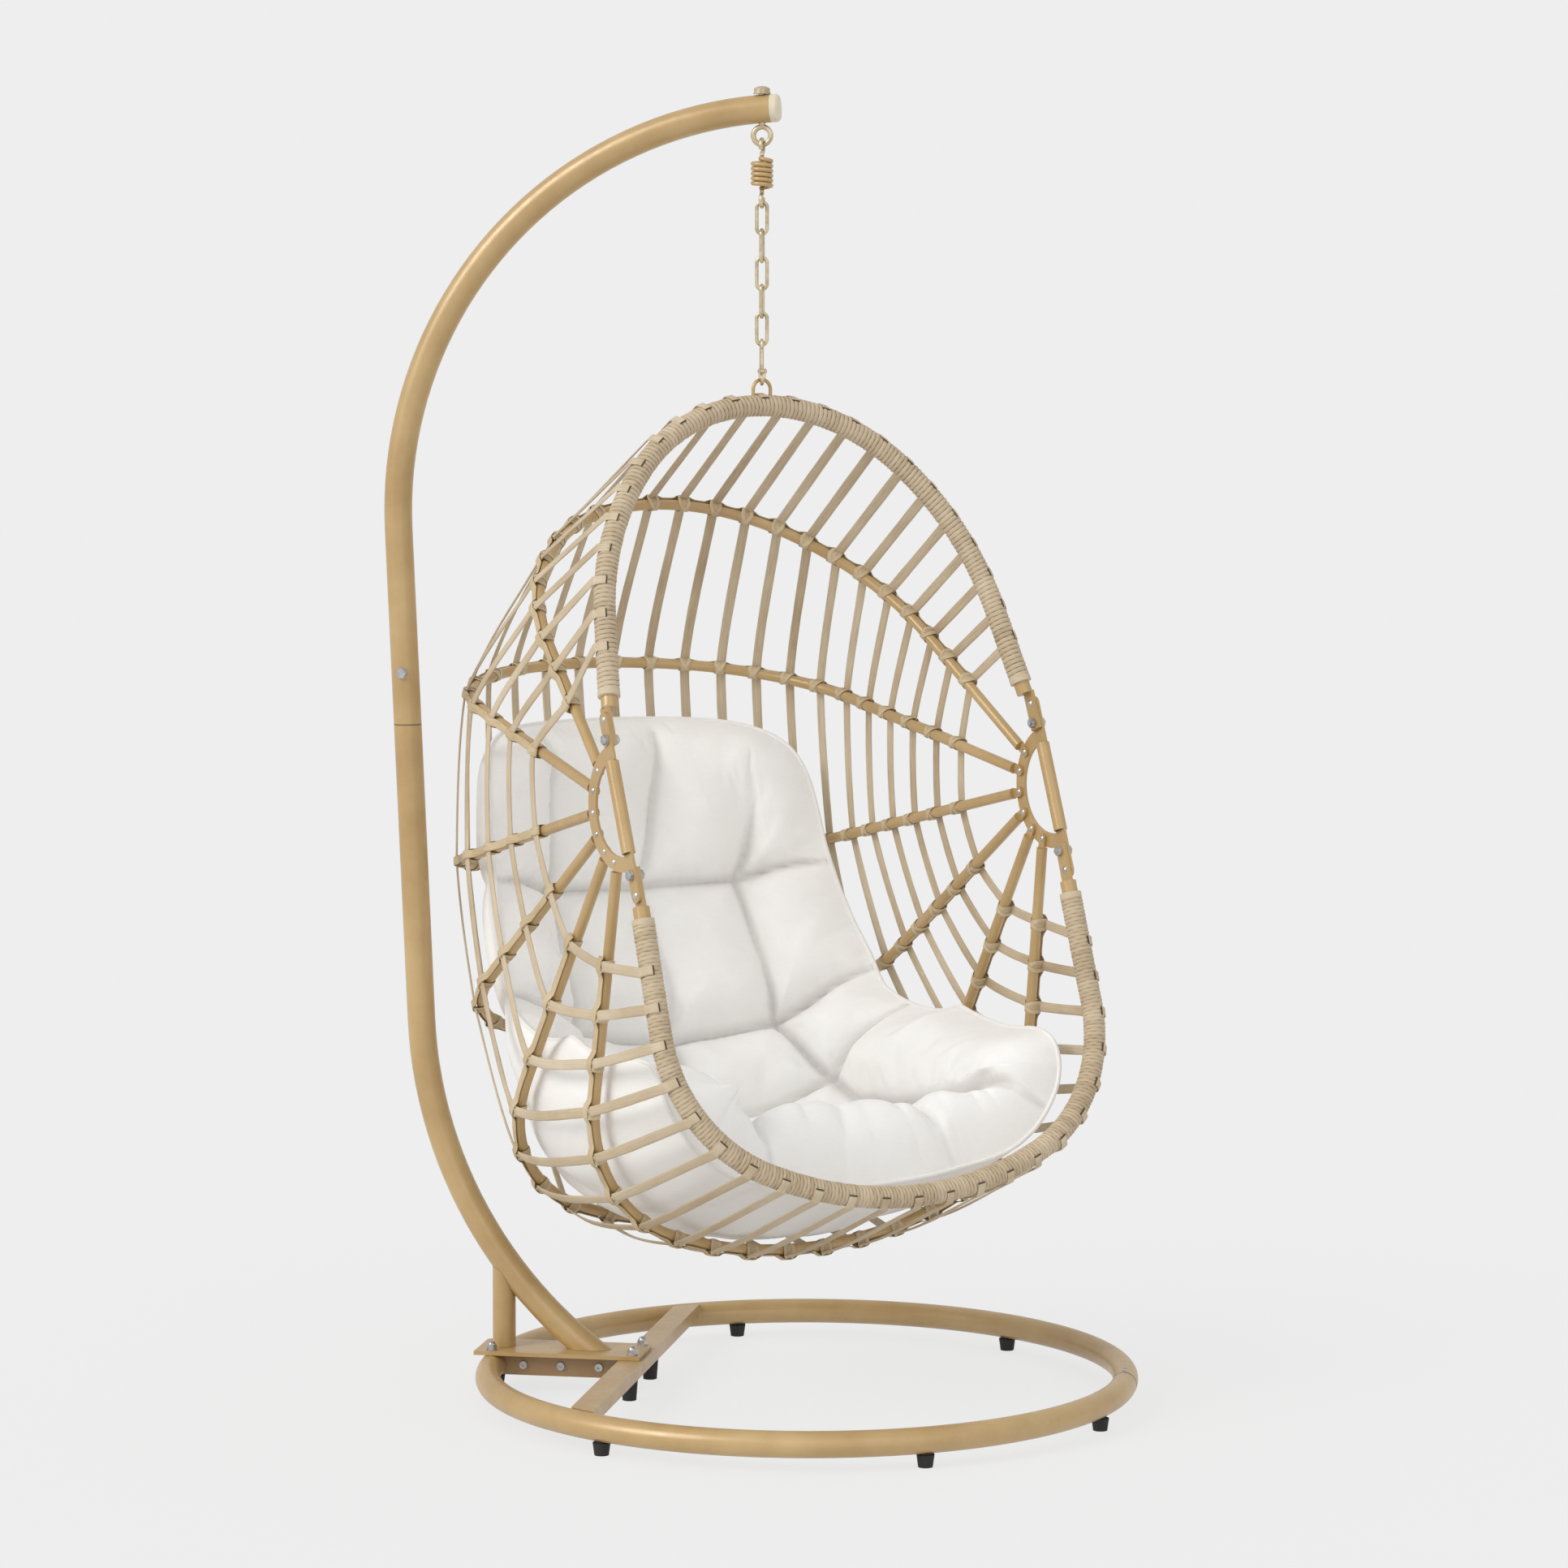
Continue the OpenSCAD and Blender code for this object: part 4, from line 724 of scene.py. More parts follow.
def lash_turn(j, i, lift_out, lean):
    """One turn at crossing j, i: close round the hoop on its inner side, out over the band on the other."""
    middle, hoop_way, out = CROSS[j, i], HOOP_WAY[j, i], OUTWARD[j, i]
    side = unit(np.cross(out, hoop_way))
    close = RIB_R + LASH_LIFT + lift_out
    far = RIB_REACH + BAND_THICK / 2 + 0.9 + lift_out
    path, outs = [], []
    for q in range(LASH_POINTS):
        a = FULL_TURN * q / LASH_POINTS
        c, s = cos(a), sin(a)
        w = min(1, max(0, (s - 0.15) / 0.55))
        wide = close + 1.1 * w
        high = close * (1 - w) * s + far * w * max(s, 0.93)
        path.append(middle + side * wide * c + out * high + hoop_way * lean * c)
        outs.append(unit(side * c + out * (s + 0.3 * w)))
    return path, outs


def cover_strip(b, k):
    """Strip down the outer side of hoop k, which steps up over each band."""
    hoop, j = RIBS[k], k + 1
    u_band = np.array([hoop.weave_u(i) for i in range(STRANDS)])
    out_band = np.array([OUTWARD[j, i] for i in range(STRANDS)])
    u_first, u_last = u_band[0] - 0.008, u_band[-1] + 0.008
    path, outs = [], []
    for q in range(COVER_STEPS + 1):
        u = u_first + (u_last - u_first) * q / COVER_STEPS
        out = unit([np.interp(u, u_band, out_band[:, axis]) for axis in range(3)])
        t = hoop.along(u)
        out = unit(out - t * np.dot(out, t))
        to_band = np.min(np.abs(u_band - u)) * 2 * hoop.half
        w = max(0.0, 1 - (max(0.0, to_band - 6.0) / 13.0))
        w = w * w * (3 - 2 * w)
        r = (RIB_R + 0.95) * (1 - w) + (RIB_REACH + BAND_THICK / 2 + 2.3) * w
        path.append(hoop.at(u) + out * r)
        outs.append(out)
    q = np.arange(COVER_STEPS + 1)
    width = COVER_W + 0.5 * np.sin(q * 0.7 + k)
    strip(b, path, outs, width, COVER_THICK, 0.42 + 0.12 * np.sin(q * 0.21 + k), u0=k * 2.1)


def lashings(k):
    """All turns on hoop k and its cover strip."""
    b = Build()
    for i in range(STRANDS):
        for sign, lift_out, wide in LASH_TURNS:
            lean = 7.0 + rnd.uniform(-1.0, 1.0)
            path, outs = lash_turn(k + 1, i, lift_out, sign * lean)
            tone = (0.42 if sign == 0 else 0.6) + rnd.uniform(-0.15, 0.15)
            strip(b, path, outs, wide, LASH_THICK, tone, closed=True, u0=rnd.random() * 5)
    cover_strip(b, k)
    b.done("hoop_lashings_%d" % (k + 1), M_LASH, slot="wicker")


for k in range(RIBS_N):
    lashings(k)

# ---------- cord wound round the rims
CORD_SIDES = 22
CORD_END = 9.0


def cord_turns(seed, turns):
    """How fat and how pale each turn is; turns of a like tone come in runs."""
    g = random.Random(seed)
    fat = [g.uniform(-0.30, 0.22) for _ in range(turns)]
    tone = [g.uniform(0.28, 0.85) for _ in range(turns)]
    run = 0.5
    for q in range(turns):
        if g.random() < 0.09:
            run = g.uniform(0.25, 0.8)
        tone[q] = 0.55 * tone[q] + 0.45 * run
    return np.array(fat), np.array(tone)


def wound(name, hoop, node, seed, pitch, dark):
    """Cord wound round a rim turn by turn, with painted shade that darkens its grooves by dark."""
    total = 2 * hoop.half
    s0, s1 = WRAP_START, total - WRAP_START
    steps = int(s1 - s0)
    fat, tone = cord_turns(seed, int((s1 - s0) / pitch) + 4)
    s = s0 + (s1 - s0) * np.arange(steps + 1) / steps
    path = np.array([hoop.at(q / total) for q in s])
    up = np.broadcast_to(hoop.plane_up(), path.shape)
    round_share = np.arange(CORD_SIDES) / CORD_SIDES
    # phase counts the turns along the rim, and wanders a little
    phase = (s[:, None] - s0) / pitch + 1 - round_share[None, :] + 0.12 * np.sin(s[:, None] / 37.0)
    turn = np.clip(np.floor(phase).astype(int), 0, len(fat) - 1)
    ridge = 1 - np.abs(2 * (phase - np.floor(phase)) - 1) ** 2.8
    r = WRAP_D / 2 - 1.7 + 1.5 * ridge + fat[turn] * np.minimum(1, ridge * 1.5)
    # painted shade: the grooves between turns are darker
    tones = tone[turn] - dark * (1 - np.clip(ridge * 2.2, 0, 1))
    # a plain band of tape at both ends
    taped = np.minimum(s - s0, s1 - s)[:, None] < CORD_END
    r = np.where(taped, WRAP_D / 2 - 0.2, r)
    tones = np.where(taped, 0.75, tones)
    rings = wire_rings(path, up, np.cross(tangents(path), up), r, CORD_SIDES)
    uv = np.stack([np.broadcast_to(round_share[None, :] * 0.105, phase.shape), phase], -1)
    b = Build()
    b.rings(world(rings), uv, tones)
    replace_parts(b.done(name, M_CORD, slot="wicker"), node)


wound("wound_upper_rim", UPPER, "upper_rim_wrap", 3, 7.0, 1.25)
wound("wound_lower_rim", LOWER, "lower_rim_wrap", 5, 5.6, 0.8)

# ---------- spring
COIL_R = (SPRING_D - SPRING_WIRE) / 2
COIL_TAIL = (8.2, 5.2)
# how the wire winds in to the hanging line: share of the coil's radius, angle, height
COIL_LEAD = ((0.88, 25, 0.8), (0.66, 60, 2.2), (0.3, 110, 3.6))


def coil_lead(z, s):
    """Points between the coil and the hanging line, in the row frame."""
    return [(COIL_R * q * cos(rad(a)) + HOOK_X, s * COIL_R * q * sin(rad(a)), z + s * -h)
            for q, a, h in COIL_LEAD]


def coil_path():
    """Centre line of the spring's wire from its upper to its lower tail, in the row frame."""
    upper_tail = [(HOOK_X, 0, COIL_TOP + h) for h in COIL_TAIL]
    lower_tail = [(HOOK_X, 0, COIL_LOW - h) for h in reversed(COIL_TAIL)]
    turns = [(HOOK_X + COIL_R * cos(FULL_TURN * q / 8), COIL_R * sin(FULL_TURN * q / 8),
              COIL_TOP - SPRING_PITCH * q / 8) for q in range(8 * SPRING_TURNS + 1)]
    return upper_tail + coil_lead(COIL_TOP, -1)[::-1] + turns + coil_lead(COIL_LOW, 1) + lower_tail


coil_build = Build()
wire(coil_build, catmull(coil_path(), 4), SPRING_WIRE / 2, 14, (0.001, 0.0013, 1), lambda p: p / 1000, 0.002)
coil = coil_build.done("spring_wire", M_FRAME, body=None, slot="bright_steel")
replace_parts(coil, "spring_coil")
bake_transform(coil)

# ---------- cushion: its place in the hoops
# The cushion is a grid: x runs from 0 at the top of the back to 1 at the front of the seat, and y from
# 0 at the left to 1 at the right. Each row of it lies in a plane through the line between the hubs.
ROWS, COLS = 150, 132
GRID = (ROWS, COLS)
MARGIN_X, MARGIN_Y = 0.006, 0.007
CUSHION_L, CUSHION_W = 1290, 790
# rounded sizes of the grid, for patterns alone
GRID_L, GRID_W = 1250, 800
TOP_A, SEAT_A, FRONT_A = 6.0, -40.0, -99.5
TOP_START, BACK_WIDENS = 0.275, 0.03
SEAT_START, SEAT_WIDENS = 0.245, 0.079
CUSHION_GAP = 6.5


def in_plane(k, f):
    """Place f on hoop k, as its distance to the side and its distance from the line between the hubs."""
    q = RIBS[k].at(f)
    return np.array([q[0], hypot(q[1] + HUB_FRONT, q[2] - HUB_Z)])


def shell(a, f):
    """Place f on the surface that the hoops span, in the plane that leans by a."""
    k = 0
    while k < RIBS_N - 2 and a <= RIB_A[k + 1]:
        k += 1
    w = (a - RIB_A[k]) / (RIB_A[k + 1] - RIB_A[k])
    return in_plane(k, f) * (1 - w) + in_plane(k + 1, f) * w


def shell_inward(a, f):
    """Direction in that plane from the surface into the basket."""
    t = unit(shell(a, f + 0.01) - shell(a, f - 0.01))
    return np.array([t[1], -t[0]])


def side_start(a):
    """Place on the hoops where the cushion's left side lies; the seat is wider than the back."""
    if a > SEAT_A:
        return TOP_START - BACK_WIDENS * (TOP_A - a) / (TOP_A - SEAT_A)
    return SEAT_START - SEAT_WIDENS * min(1, (SEAT_A - a) / 20)


X = np.linspace(0, 1, ROWS)
Y = np.linspace(0, 1, COLS)
GX, GY = np.meshgrid(X * (1 - 2 * MARGIN_X) + MARGIN_X, Y * (1 - 2 * MARGIN_Y) + MARGIN_Y, indexing="ij")
# the four corners are cut round; RU and RV run from -1 to 1
RU, RV = 2 * GX - 1, 2 * GY - 1
GX = 0.5 + 0.5 * RU * np.sqrt(1 - 0.13 * RV ** 6)
GY = 0.5 + 0.5 * RV * np.sqrt(1 - np.where(RU > 0, 0.15, 0.26) * RU ** 12)
# distance of each point from the border, in millimetres
EX = np.broadcast_to((0.5 - np.abs(X - 0.5))[:, None] * CUSHION_L, GRID)
EY = np.broadcast_to((0.5 - np.abs(Y - 0.5))[None, :] * CUSHION_W, GRID)
EDGE = np.minimum(EX, EY)
# lean of each point's plane, which goes farther down at both sides of the front
LEAN = TOP_A + (FRONT_A - TOP_A) * GX - 3.0 * rise(np.abs(2 * GY - 1), 0.35, 0.5) * rise(GX, 0.5, 0.4)
# where each point lies on the hoops' surface, and the direction from there into the basket
SHELL = np.zeros((*GRID, 2))
INWARD = np.zeros((*GRID, 2))
for i in range(ROWS):
    for j in range(COLS):
        start = side_start(LEAN[i, j])
        place = start + (1 - 2 * start) * GY[i, j]
        SHELL[i, j] = shell(LEAN[i, j], place)
        INWARD[i, j] = shell_inward(LEAN[i, j], place)
# height inside the hoops' centre lines at which the cushion rests, a little more under the seat's front
REST = RIB_D / 2 + CUSHION_GAP + 0.5 * np.maximum(0, -LEAN - 80)


def lift(h):
    """Points at height h above where the cushion rests, in the basket frame."""
    q = SHELL + INWARD * (REST + h)[..., None]
    c, s = np.cos(np.radians(LEAN)), np.sin(np.radians(LEAN))
    return np.stack([q[..., 0], -HUB_FRONT + q[..., 1] * c, HUB_Z + q[..., 1] * s], -1)


def on_grid(field, x, y):
    """Value of a grid of points at the places x, y."""
    u = np.clip((np.asarray(x) - MARGIN_X) / (1 - 2 * MARGIN_X), 0, 1) * (ROWS - 1)
    v = np.clip((np.asarray(y) - MARGIN_Y) / (1 - 2 * MARGIN_Y), 0, 1) * (COLS - 1)
    i = np.minimum(u.astype(int), ROWS - 2)
    j = np.minimum(v.astype(int), COLS - 2)
    u, v = (u - i)[..., None], (v - j)[..., None]
    return (field[i, j] * (1 - u) * (1 - v) + field[i + 1, j] * u * (1 - v)
            + field[i, j + 1] * (1 - u) * v + field[i + 1, j + 1] * u * v)


# ---------- cushion: its sewn lines
# Each sewn line is its x, its y and its depth at the places T.
T = np.linspace(0, 1, 220)
SIDE = np.abs(2 * T - 1)


def cross_seam(x, bow, start, power, depth):
    """Line across the cushion, which bows up by bow at both sides."""
    return x - bow * np.maximum(0, (SIDE - start) / (1 - start)) ** power, T, depth + 0 * T


def long_seam(across, depths):
    """Line down the cushion, through its place across and its depth at each place of LINE_X."""
    x = LINE_X[0] + (1 - LINE_X[0]) * T
    return x, np.interp(x, LINE_X, across), np.interp(x, LINE_X, depths)


def front_fold(y, phase):
    """Soft fold over the front of the seat."""
    return 0.60 + 0.38 * T, y + 0.012 * np.sin(4 * T + phase), 0.3 * np.sin(np.pi * T) ** 0.7


LINE_X = [0.02, 0.10, 0.15, 0.215, 0.34, 0.425, 0.535, 0.75, 1.0]
LEFT_Y = [0.27, 0.27, 0.272, 0.275, 0.265, 0.275, 0.215, 0.275, 0.325]
LEFT_DEPTH = [0.75, 0.8, 0.8, 0.95, 0.85, 1.0, 1.05, 1.0, 0.9]
MIDDLE_Y = [0.61, 0.565, 0.54, 0.5, 0.512, 0.5, 0.5, 0.59, 0.65]
MIDDLE_DEPTH = [0.75, 0.85, 0.85, 0.85, 0.65, 0.9, 0.95, 0.8, 0.7]
RIGHT_Y = [0.90, 0.875, 0.81, 0.725, 0.735, 0.725, 0.785, 0.85, 0.86]
RIGHT_DEPTH = [0.0, 0.35, 0.75, 0.95, 0.85, 1.0, 1.05, 1.0, 0.9]
SEAMS = [cross_seam(0.222 + 0.006 * np.cos(6 * T), 0.036, 0.3, 1.5, 1),
         cross_seam(0.430, 0.036, 0.3, 1.3, 1.1),
         cross_seam(0.548, 0.045, 0.2, 1.2, 1.0),
         long_seam(LEFT_Y, LEFT_DEPTH),
         long_seam(MIDDLE_Y, MIDDLE_DEPTH),
         long_seam(RIGHT_Y, RIGHT_DEPTH),
         front_fold(0.405, 0),
         front_fold(0.485, 1)]
TUFT_ROWS = ((0.22, (0.275, 0.5, 0.725)), (0.427, (0.275, 0.5, 0.725)), (0.54, (0.215, 0.5, 0.785)))
TUFTS = [(x, y) for x, row in TUFT_ROWS for y in row]
FAR = 99.0


def near_points(points, line):
    """Least distance from each point to the points of a line, and which of them it is."""
    d = np.full(len(points), 1e9)
    nearest = np.zeros(len(points), int)
    part = 110
    for s in range(0, len(line), part):
        e = np.linalg.norm(points[:, None] - line[None, s:s + part], axis=2)
        m = e.argmin(1)
        v = e[np.arange(len(points)), m]
        nearest = np.where(v < d, m + s, nearest)
        d = np.minimum(d, v)
    return d, nearest


def sewn(base):
    """How far each point sinks towards a seam and into the thread's groove, as shares of their depths, and
    how far the nearest seam is."""
    valley = np.zeros(GRID)
    groove = np.zeros(GRID)
    distance = np.full(GRID, FAR)
    points = base.reshape(-1, 3)
    for x, y, depths in SEAMS:
        d, nearest = near_points(points, on_grid(base, x, y))
        depth = depths[nearest].reshape(GRID)
        d = d.reshape(GRID)
        q = np.clip(d / (62 + 30 * depth), 0, 1)
        valley = np.maximum(valley, depth * (1 - np.sqrt(1 - (1 - q) ** 2)))
        groove = np.maximum(groove, np.clip(depth, 0, 1) ** 1.5 * np.exp(-(d / 7.0) ** 2))
        distance = np.minimum(distance, np.where(depth > 0.3, d, FAR))
    return valley, groove, distance


def tufted(base):
    """How far the tufts pull the face down, and the wrinkles that run out from them."""
    pull = np.zeros(GRID)
    wrinkles = np.zeros(GRID)
    for n, (x, y) in enumerate(TUFTS):
        middle = on_grid(base, np.array([x]), np.array([y]))[0]
        d = np.linalg.norm(base - middle, axis=2)
        a = np.arctan2((GY - y) * GRID_W, (GX - x) * GRID_L)
        pull += 14 * np.exp(-(d / 30) ** 2)
        fold = np.abs(np.sin(4.5 * a + 1.7 * n + 0.6 * np.sin(3 * a + n))) ** 0.7
        wrinkles += 4.0 * (fold - 0.6) * np.clip(d / 22, 0, 1) * np.exp(-(d / 55) ** 1.5)
    return pull, wrinkles


def uneven(base):
    """Slow noise over the cushion, from about -1 to 1."""
    field = np.zeros(GRID)
    for i in range(ROWS):
        for j in range(COLS):
            v = Vector(base[i, j] * 0.011)
            field[i, j] = noise.noise(v) + 0.5 * noise.noise(v * 2.3 + Vector((7, 1, 3)))
    return field


# ---------- cushion: its two faces
def dome(e, r):
    """Round shoulder: 0 at the border, 1 at a distance r and beyond."""
    return np.sqrt(1 - (1 - np.clip(e / r, 0, 1)) ** 2)


# both are 0 on the back and 1 on the seat
FRONT = rise(GX, 0.5, 0.2)
SEAT = rise(GX, 0.45, 0.15)
SHOULDER = dome(EX, np.where(GX > 0.5, 95, 80)) * dome(EY, 120 - 30 * SEAT)
# thickness before it is sewn down, at the border and inside it
BORDER_T = 20 - 9 * FRONT + 20 * SEAT * rise(EX, 0, 130) * np.clip(1 - EY / 60, 0, 1)
INSIDE_T = 118 + 47 * rise(GX, 0.4, 0.3)
FULL = BORDER_T + (INSIDE_T - BORDER_T) * SHOULDER
BASE = lift(FULL)
VALLEY, GROOVE, SEAM_DISTANCE = sewn(BASE)
UNEVEN = uneven(BASE)


def front_crumple():
    """Short upright folds near the front edge."""
    near_front = rise(GX, 0.80, 0.12) * np.clip((1 - GX) / 0.02, 0, 1)
    crumple = np.abs(np.sin(GY * GRID_W / 21 + 2.2 * UNEVEN + 3 * np.sin(GY * 9))) ** 0.6
    return 7.0 * near_front * (1 - crumple) * (0.4 + 0.6 * np.sin(GY * 31) ** 2)


def border_pucker():
    """Small gathers along the piping."""
    wave = np.sin(EDGE * 0.02 + (GY * GRID_W + GX * GRID_L) / 14.0 + 4 * UNEVEN)
    return 1.6 * wave * np.exp(-EDGE / 40.0)


def upper_height():
    """Height of the upper face, sewn down, tufted and wrinkled."""
    depth = 52 + 12 * rise(GX, 0.35, 0.2)
    pull, wrinkles = tufted(BASE)
    sunk = (VALLEY * depth + 8 * GROOVE) * (0.25 + 0.75 * SHOULDER) + pull + front_crumple()
    return FULL - sunk + wrinkles + 5.0 * UNEVEN * np.clip(EDGE / 60, 0, 1) + border_pucker()


def lower_height():
    """Height of the lower face: it curves up to the border and sinks in a little under the seams."""
    curl = (15 - 12 * FRONT) * (1 - dome(EDGE, 75))
    return 4 + curl + VALLEY * 16 * np.clip(EDGE / 40, 0, 1) + 2.5 * np.abs(UNEVEN)


LOWER_H = lower_height()
FACES_AT = np.stack([lift(LOWER_H), lift(np.maximum(upper_height(), LOWER_H + 5))])

# ---------- cushion: its mesh
FACE_N = ROWS * COLS
BORDER_ROWS = (0.25, 0.5, 0.75)
PUFF_CLOTH = {"quality": 6, "mass": 0.25, "tension_stiffness": 18, "compression_stiffness": 18,
              "shear_stiffness": 6, "bending_stiffness": 2.5, "tension_damping": 8, "compression_damping": 8,
              "use_pressure": True, "uniform_pressure_force": 5.0, "vertex_group_mass": "held",
              "pin_stiffness": 4, "shrink_min": -0.014}
PUFF_FRAMES = 20
PUFF_MOST = 0.024
PIPING_R = 3.4


def face_quads():
    """Quads of the lower and the upper face."""
    quads = []
    for i in range(ROWS - 1):
        for j in range(COLS - 1):
            a = i * COLS + j
            b, c, d = a + 1, a + COLS, a + COLS + 1
            quads.append((a, c, d, b))
            quads.append((a + FACE_N, b + FACE_N, d + FACE_N, c + FACE_N))
    return quads


def border_loop():
    """Grid places once round the border."""
    return ([(0, j) for j in range(COLS)] + [(i, COLS - 1) for i in range(1, ROWS)]
            + [(ROWS - 1, j) for j in range(COLS - 2, -1, -1)] + [(i, 0) for i in range(ROWS - 2, 0, -1)])


def border_rows(loop):
    """Points of the rows between the two faces, which bulge outwards."""
    lower, upper, outs, bulge = [], [], [], []
    for i, j in loop:
        inner_i, inner_j = min(max(i, 2), ROWS - 3), min(max(j, 2), COLS - 3)
        p0, p1 = FACES_AT[0, i, j], FACES_AT[1, i, j]
        inside = (FACES_AT[0, inner_i, inner_j] + FACES_AT[1, inner_i, inner_j]) / 2
        lower.append(p0)
        upper.append(p1)
        outs.append(unit((p0 + p1) / 2 - inside))
        bulge.append(min(9.0, np.linalg.norm(p1 - p0) * 0.3))
    lower, upper = np.array(lower), np.array(upper)
    outs = np.array(outs) * np.array(bulge)[:, None]
    return [lower * (1 - w) + upper * w + outs * sin(pi * w) for w in BORDER_ROWS]


def face_outwards(ob):
    """Turns all faces of a closed mesh outwards."""
    bm = bmesh.new()
    bm.from_mesh(ob.data)
    bmesh.ops.recalc_face_normals(bm, faces=bm.faces)
    bm.to_mesh(ob.data)
    bm.free()


def build_cushion():
    """The cushion before it is blown up, and the middle line of its border."""
    loop = border_loop()
    m = len(loop)
    between = border_rows(loop)
    low = [i * COLS + j for i, j in loop]
    rows = [low] + [[2 * FACE_N + r * m + q for q in range(m)] for r in range(len(between))]
    rows.append([q + FACE_N for q in low])
    faces = face_quads()
    for row, above in zip(rows, rows[1:]):
        for q in range(m):
            q1 = (q + 1) % m
            faces.append((row[q], above[q], above[q1], row[q1]))
    points = np.vstack([FACES_AT.reshape(-1, 3)] + between)
    tone = np.full(len(points), 0.5)
    # the upper face's tone drops in the seams' grooves, where the cloth material paints shade
    tone[FACE_N:2 * FACE_N] = 0.5 * (1 - GROOVE.ravel())
    ob = make("seat_cushion", world(points), faces, M_CLOTH, body=None, tone=tone)
    face_outwards(ob)
    return ob, between[1]


def hold_points(ob):
    """Vertex group of the points that stay: all but the upper face between its seams."""
    hold = np.ones(len(ob.data.vertices))
    near_seam = np.clip(1 - (SEAM_DISTANCE.ravel() - 5) / 6, 0, 1)
    hold[FACE_N:2 * FACE_N] = np.maximum(near_seam, EDGE.ravel() < 4)
    group = ob.vertex_groups.new(name="held")
    for v in np.nonzero(hold > 0.02)[0]:
        group.add([int(v)], float(hold[v]), "REPLACE")


def puff(ob):
    """Blows the cover up as cloth held at its sewn lines, border and underside, by PUFF_MOST at most."""
    me = ob.data
    hold_points(ob)
    before = np.empty(len(me.vertices) * 3)
    me.vertices.foreach_get("co", before)
    md = ob.modifiers.new("puff", "CLOTH")
    for name, value in PUFF_CLOTH.items():
        setattr(md.settings, name, value)
    md.settings.effector_weights.gravity = 0
    md.collision_settings.use_self_collision = False
    md.point_cache.frame_start, md.point_cache.frame_end = 1, PUFF_FRAMES
    for f in range(1, PUFF_FRAMES + 1):
        scene.frame_set(f)
    evaluated = ob.evaluated_get(bpy.context.evaluated_depsgraph_get())
    after = np.empty_like(before)
    evaluated.data.vertices.foreach_get("co", after)
    ob.modifiers.remove(md)
    scene.frame_set(1)
    move = (after - before).reshape(-1, 3)
    move *= np.minimum(1, PUFF_MOST / np.maximum(np.linalg.norm(move, axis=1, keepdims=True), 1e-9))
    me.vertices.foreach_set("co", (before.reshape(-1, 3) + move).ravel())
    me.update()


def build_piping(line):
    """Round piping along the middle of the border."""
    for _ in range(3):
        line = (np.roll(line, 1, 0) + 2 * line + np.roll(line, -1, 0)) / 4
    b = Build()
    wire(b, line, PIPING_R, 10, (0.3, 0.5, 0.8), world, 0.009, closed=True)
    b.done("cushion_piping", M_PIPING, slot="cushion_cloth")


def smooth_mesh(ob):
    """Splits each face of the mesh in four, with a smoother surface."""
    md = ob.modifiers.new("soft", "SUBSURF")
    md.levels = md.render_levels = 1
    bpy.context.view_layer.objects.active = ob
    with bpy.context.temp_override(object=ob, active_object=ob, selected_objects=[ob]):
        bpy.ops.object.modifier_apply(modifier="soft")
    ob.data.polygons.foreach_set("use_smooth", [True] * len(ob.data.polygons))


cushion, border_line = build_cushion()
puff(cushion)
build_piping(border_line)
smooth_mesh(cushion)
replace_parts(cushion, "cushion")
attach(cushion, "basket")

# ---------- floor, light and camera
PALE = (0.855, 0.855, 0.855, 1)
WORLD_LIGHT = 0.72
FLOOR_HALF = 60.0
FLOOR_Z = -0.0006
PHOTO_SIDE = 1932
FOCAL_PX = 5630.05
OPTICAL_ROW_PX = 874.13
SENSOR_W = 36


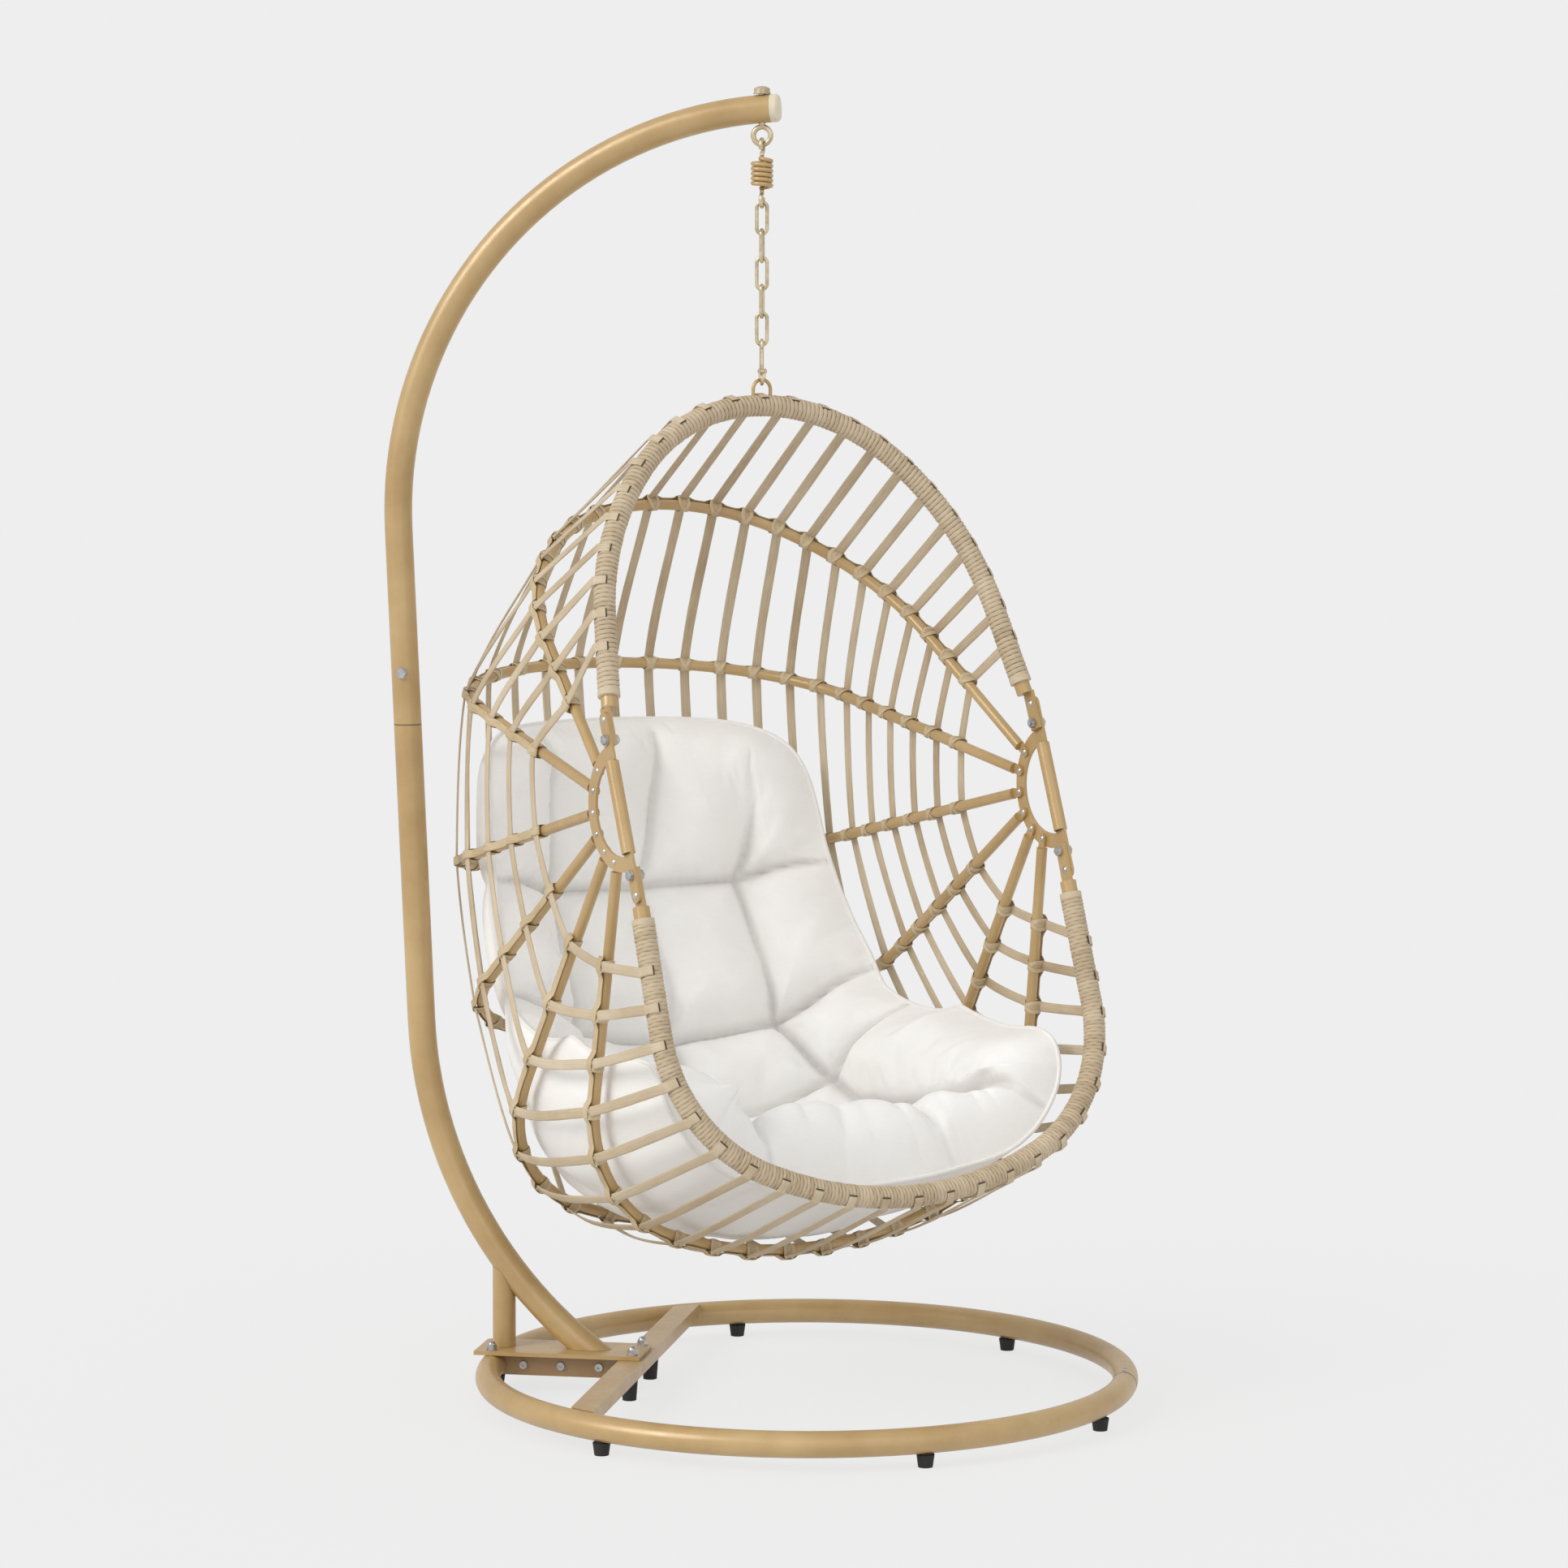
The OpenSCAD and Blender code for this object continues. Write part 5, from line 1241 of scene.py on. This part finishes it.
def floor_material():
    """Floor with a soft shadow near the object, which glows like the backdrop farther out."""
    m = Mat("floor")
    m.set("Base Color", (0.80, 0.80, 0.80, 1))
    m.set("Roughness", 0.9)
    m.set("Specular IOR Level", 0.0)
    glow = m.node("ShaderNodeEmission", Color=PALE, Strength=1.0)
    far = m.node("ShaderNodeVectorMath", (m.coords(),), operation="LENGTH").outputs["Value"]
    share = m.map_range(far, 0.6, 1.8, 0.86, 1.0)
    rays = m.node("ShaderNodeLightPath").outputs
    seen = m.math("ADD", (rays["Is Camera Ray"], rays["Is Glossy Ray"]))
    seen = m.math("ADD", (seen, rays["Is Transmission Ray"]), clamp=True)
    mixed = m.mix_shader(m.math("MULTIPLY", (share, seen)), m.surface.outputs["BSDF"], glow.outputs[0])
    m.link(mixed, m.tree.nodes["Material Output"].inputs["Surface"])
    return m.mat


def build_world():
    """White light all round, behind a pale grey that the camera sees."""
    studio = bpy.data.worlds.new("studio")
    scene.world = studio
    studio.use_nodes = True
    w = Nodes(studio.node_tree)
    light = w.tree.nodes["Background"]
    light.inputs["Color"].default_value = (1, 1, 1, 1)
    light.inputs["Strength"].default_value = WORLD_LIGHT
    backdrop = w.node("ShaderNodeBackground", Color=PALE, Strength=1.0)
    rays = w.node("ShaderNodeLightPath").outputs
    seen = w.math("ADD", (rays["Is Camera Ray"], rays["Is Transmission Ray"]), clamp=True)
    mixed = w.mix_shader(seen, light.outputs[0], backdrop.outputs[0])
    w.link(mixed, w.tree.nodes["World Output"].inputs["Surface"])


def sun(name, energy, angle, turned, color=(1, 1, 1)):
    """Sun lamp with soft shadows; angle is how wide it is, turned is its rotation."""
    lamp = bpy.data.lights.new(name, "SUN")
    lamp.energy = energy
    lamp.angle = rad(angle)
    lamp.color = color
    ob = bpy.data.objects.new(name, lamp)
    ob.rotation_euler = [rad(q) for q in turned]
    scene.collection.objects.link(ob)


def build_camera():
    """The camera that took the photograph."""
    cam = bpy.data.cameras.new("camera")
    ob = bpy.data.objects.new("camera", cam)
    scene.collection.objects.link(ob)
    ob.location = (1.1265, -6.7095, 1.4819)
    ob.rotation_euler = (rad(90) - rad(3.7206), rad(-0.07), rad(9.833))
    cam.sensor_width = SENSOR_W
    cam.lens = FOCAL_PX / PHOTO_SIDE * SENSOR_W
    cam.shift_x = 0
    cam.shift_y = (OPTICAL_ROW_PX - PHOTO_SIDE / 2) / PHOTO_SIDE
    scene.camera = ob


corners = [(x * FLOOR_HALF, y * FLOOR_HALF, FLOOR_Z) for x, y in ((-1, -1), (1, -1), (1, 1), (-1, 1))]
floor = make("floor", corners, [(0, 1, 2, 3)], floor_material(), body=None, smooth=False)
build_world()
sun("key", 1.42, 30, (57, 0, -50), (1.0, 0.99, 0.97))
sun("fill", 0.43, 60, (60, 0, 28))
build_camera()
scene.view_settings.view_transform = "Standard"
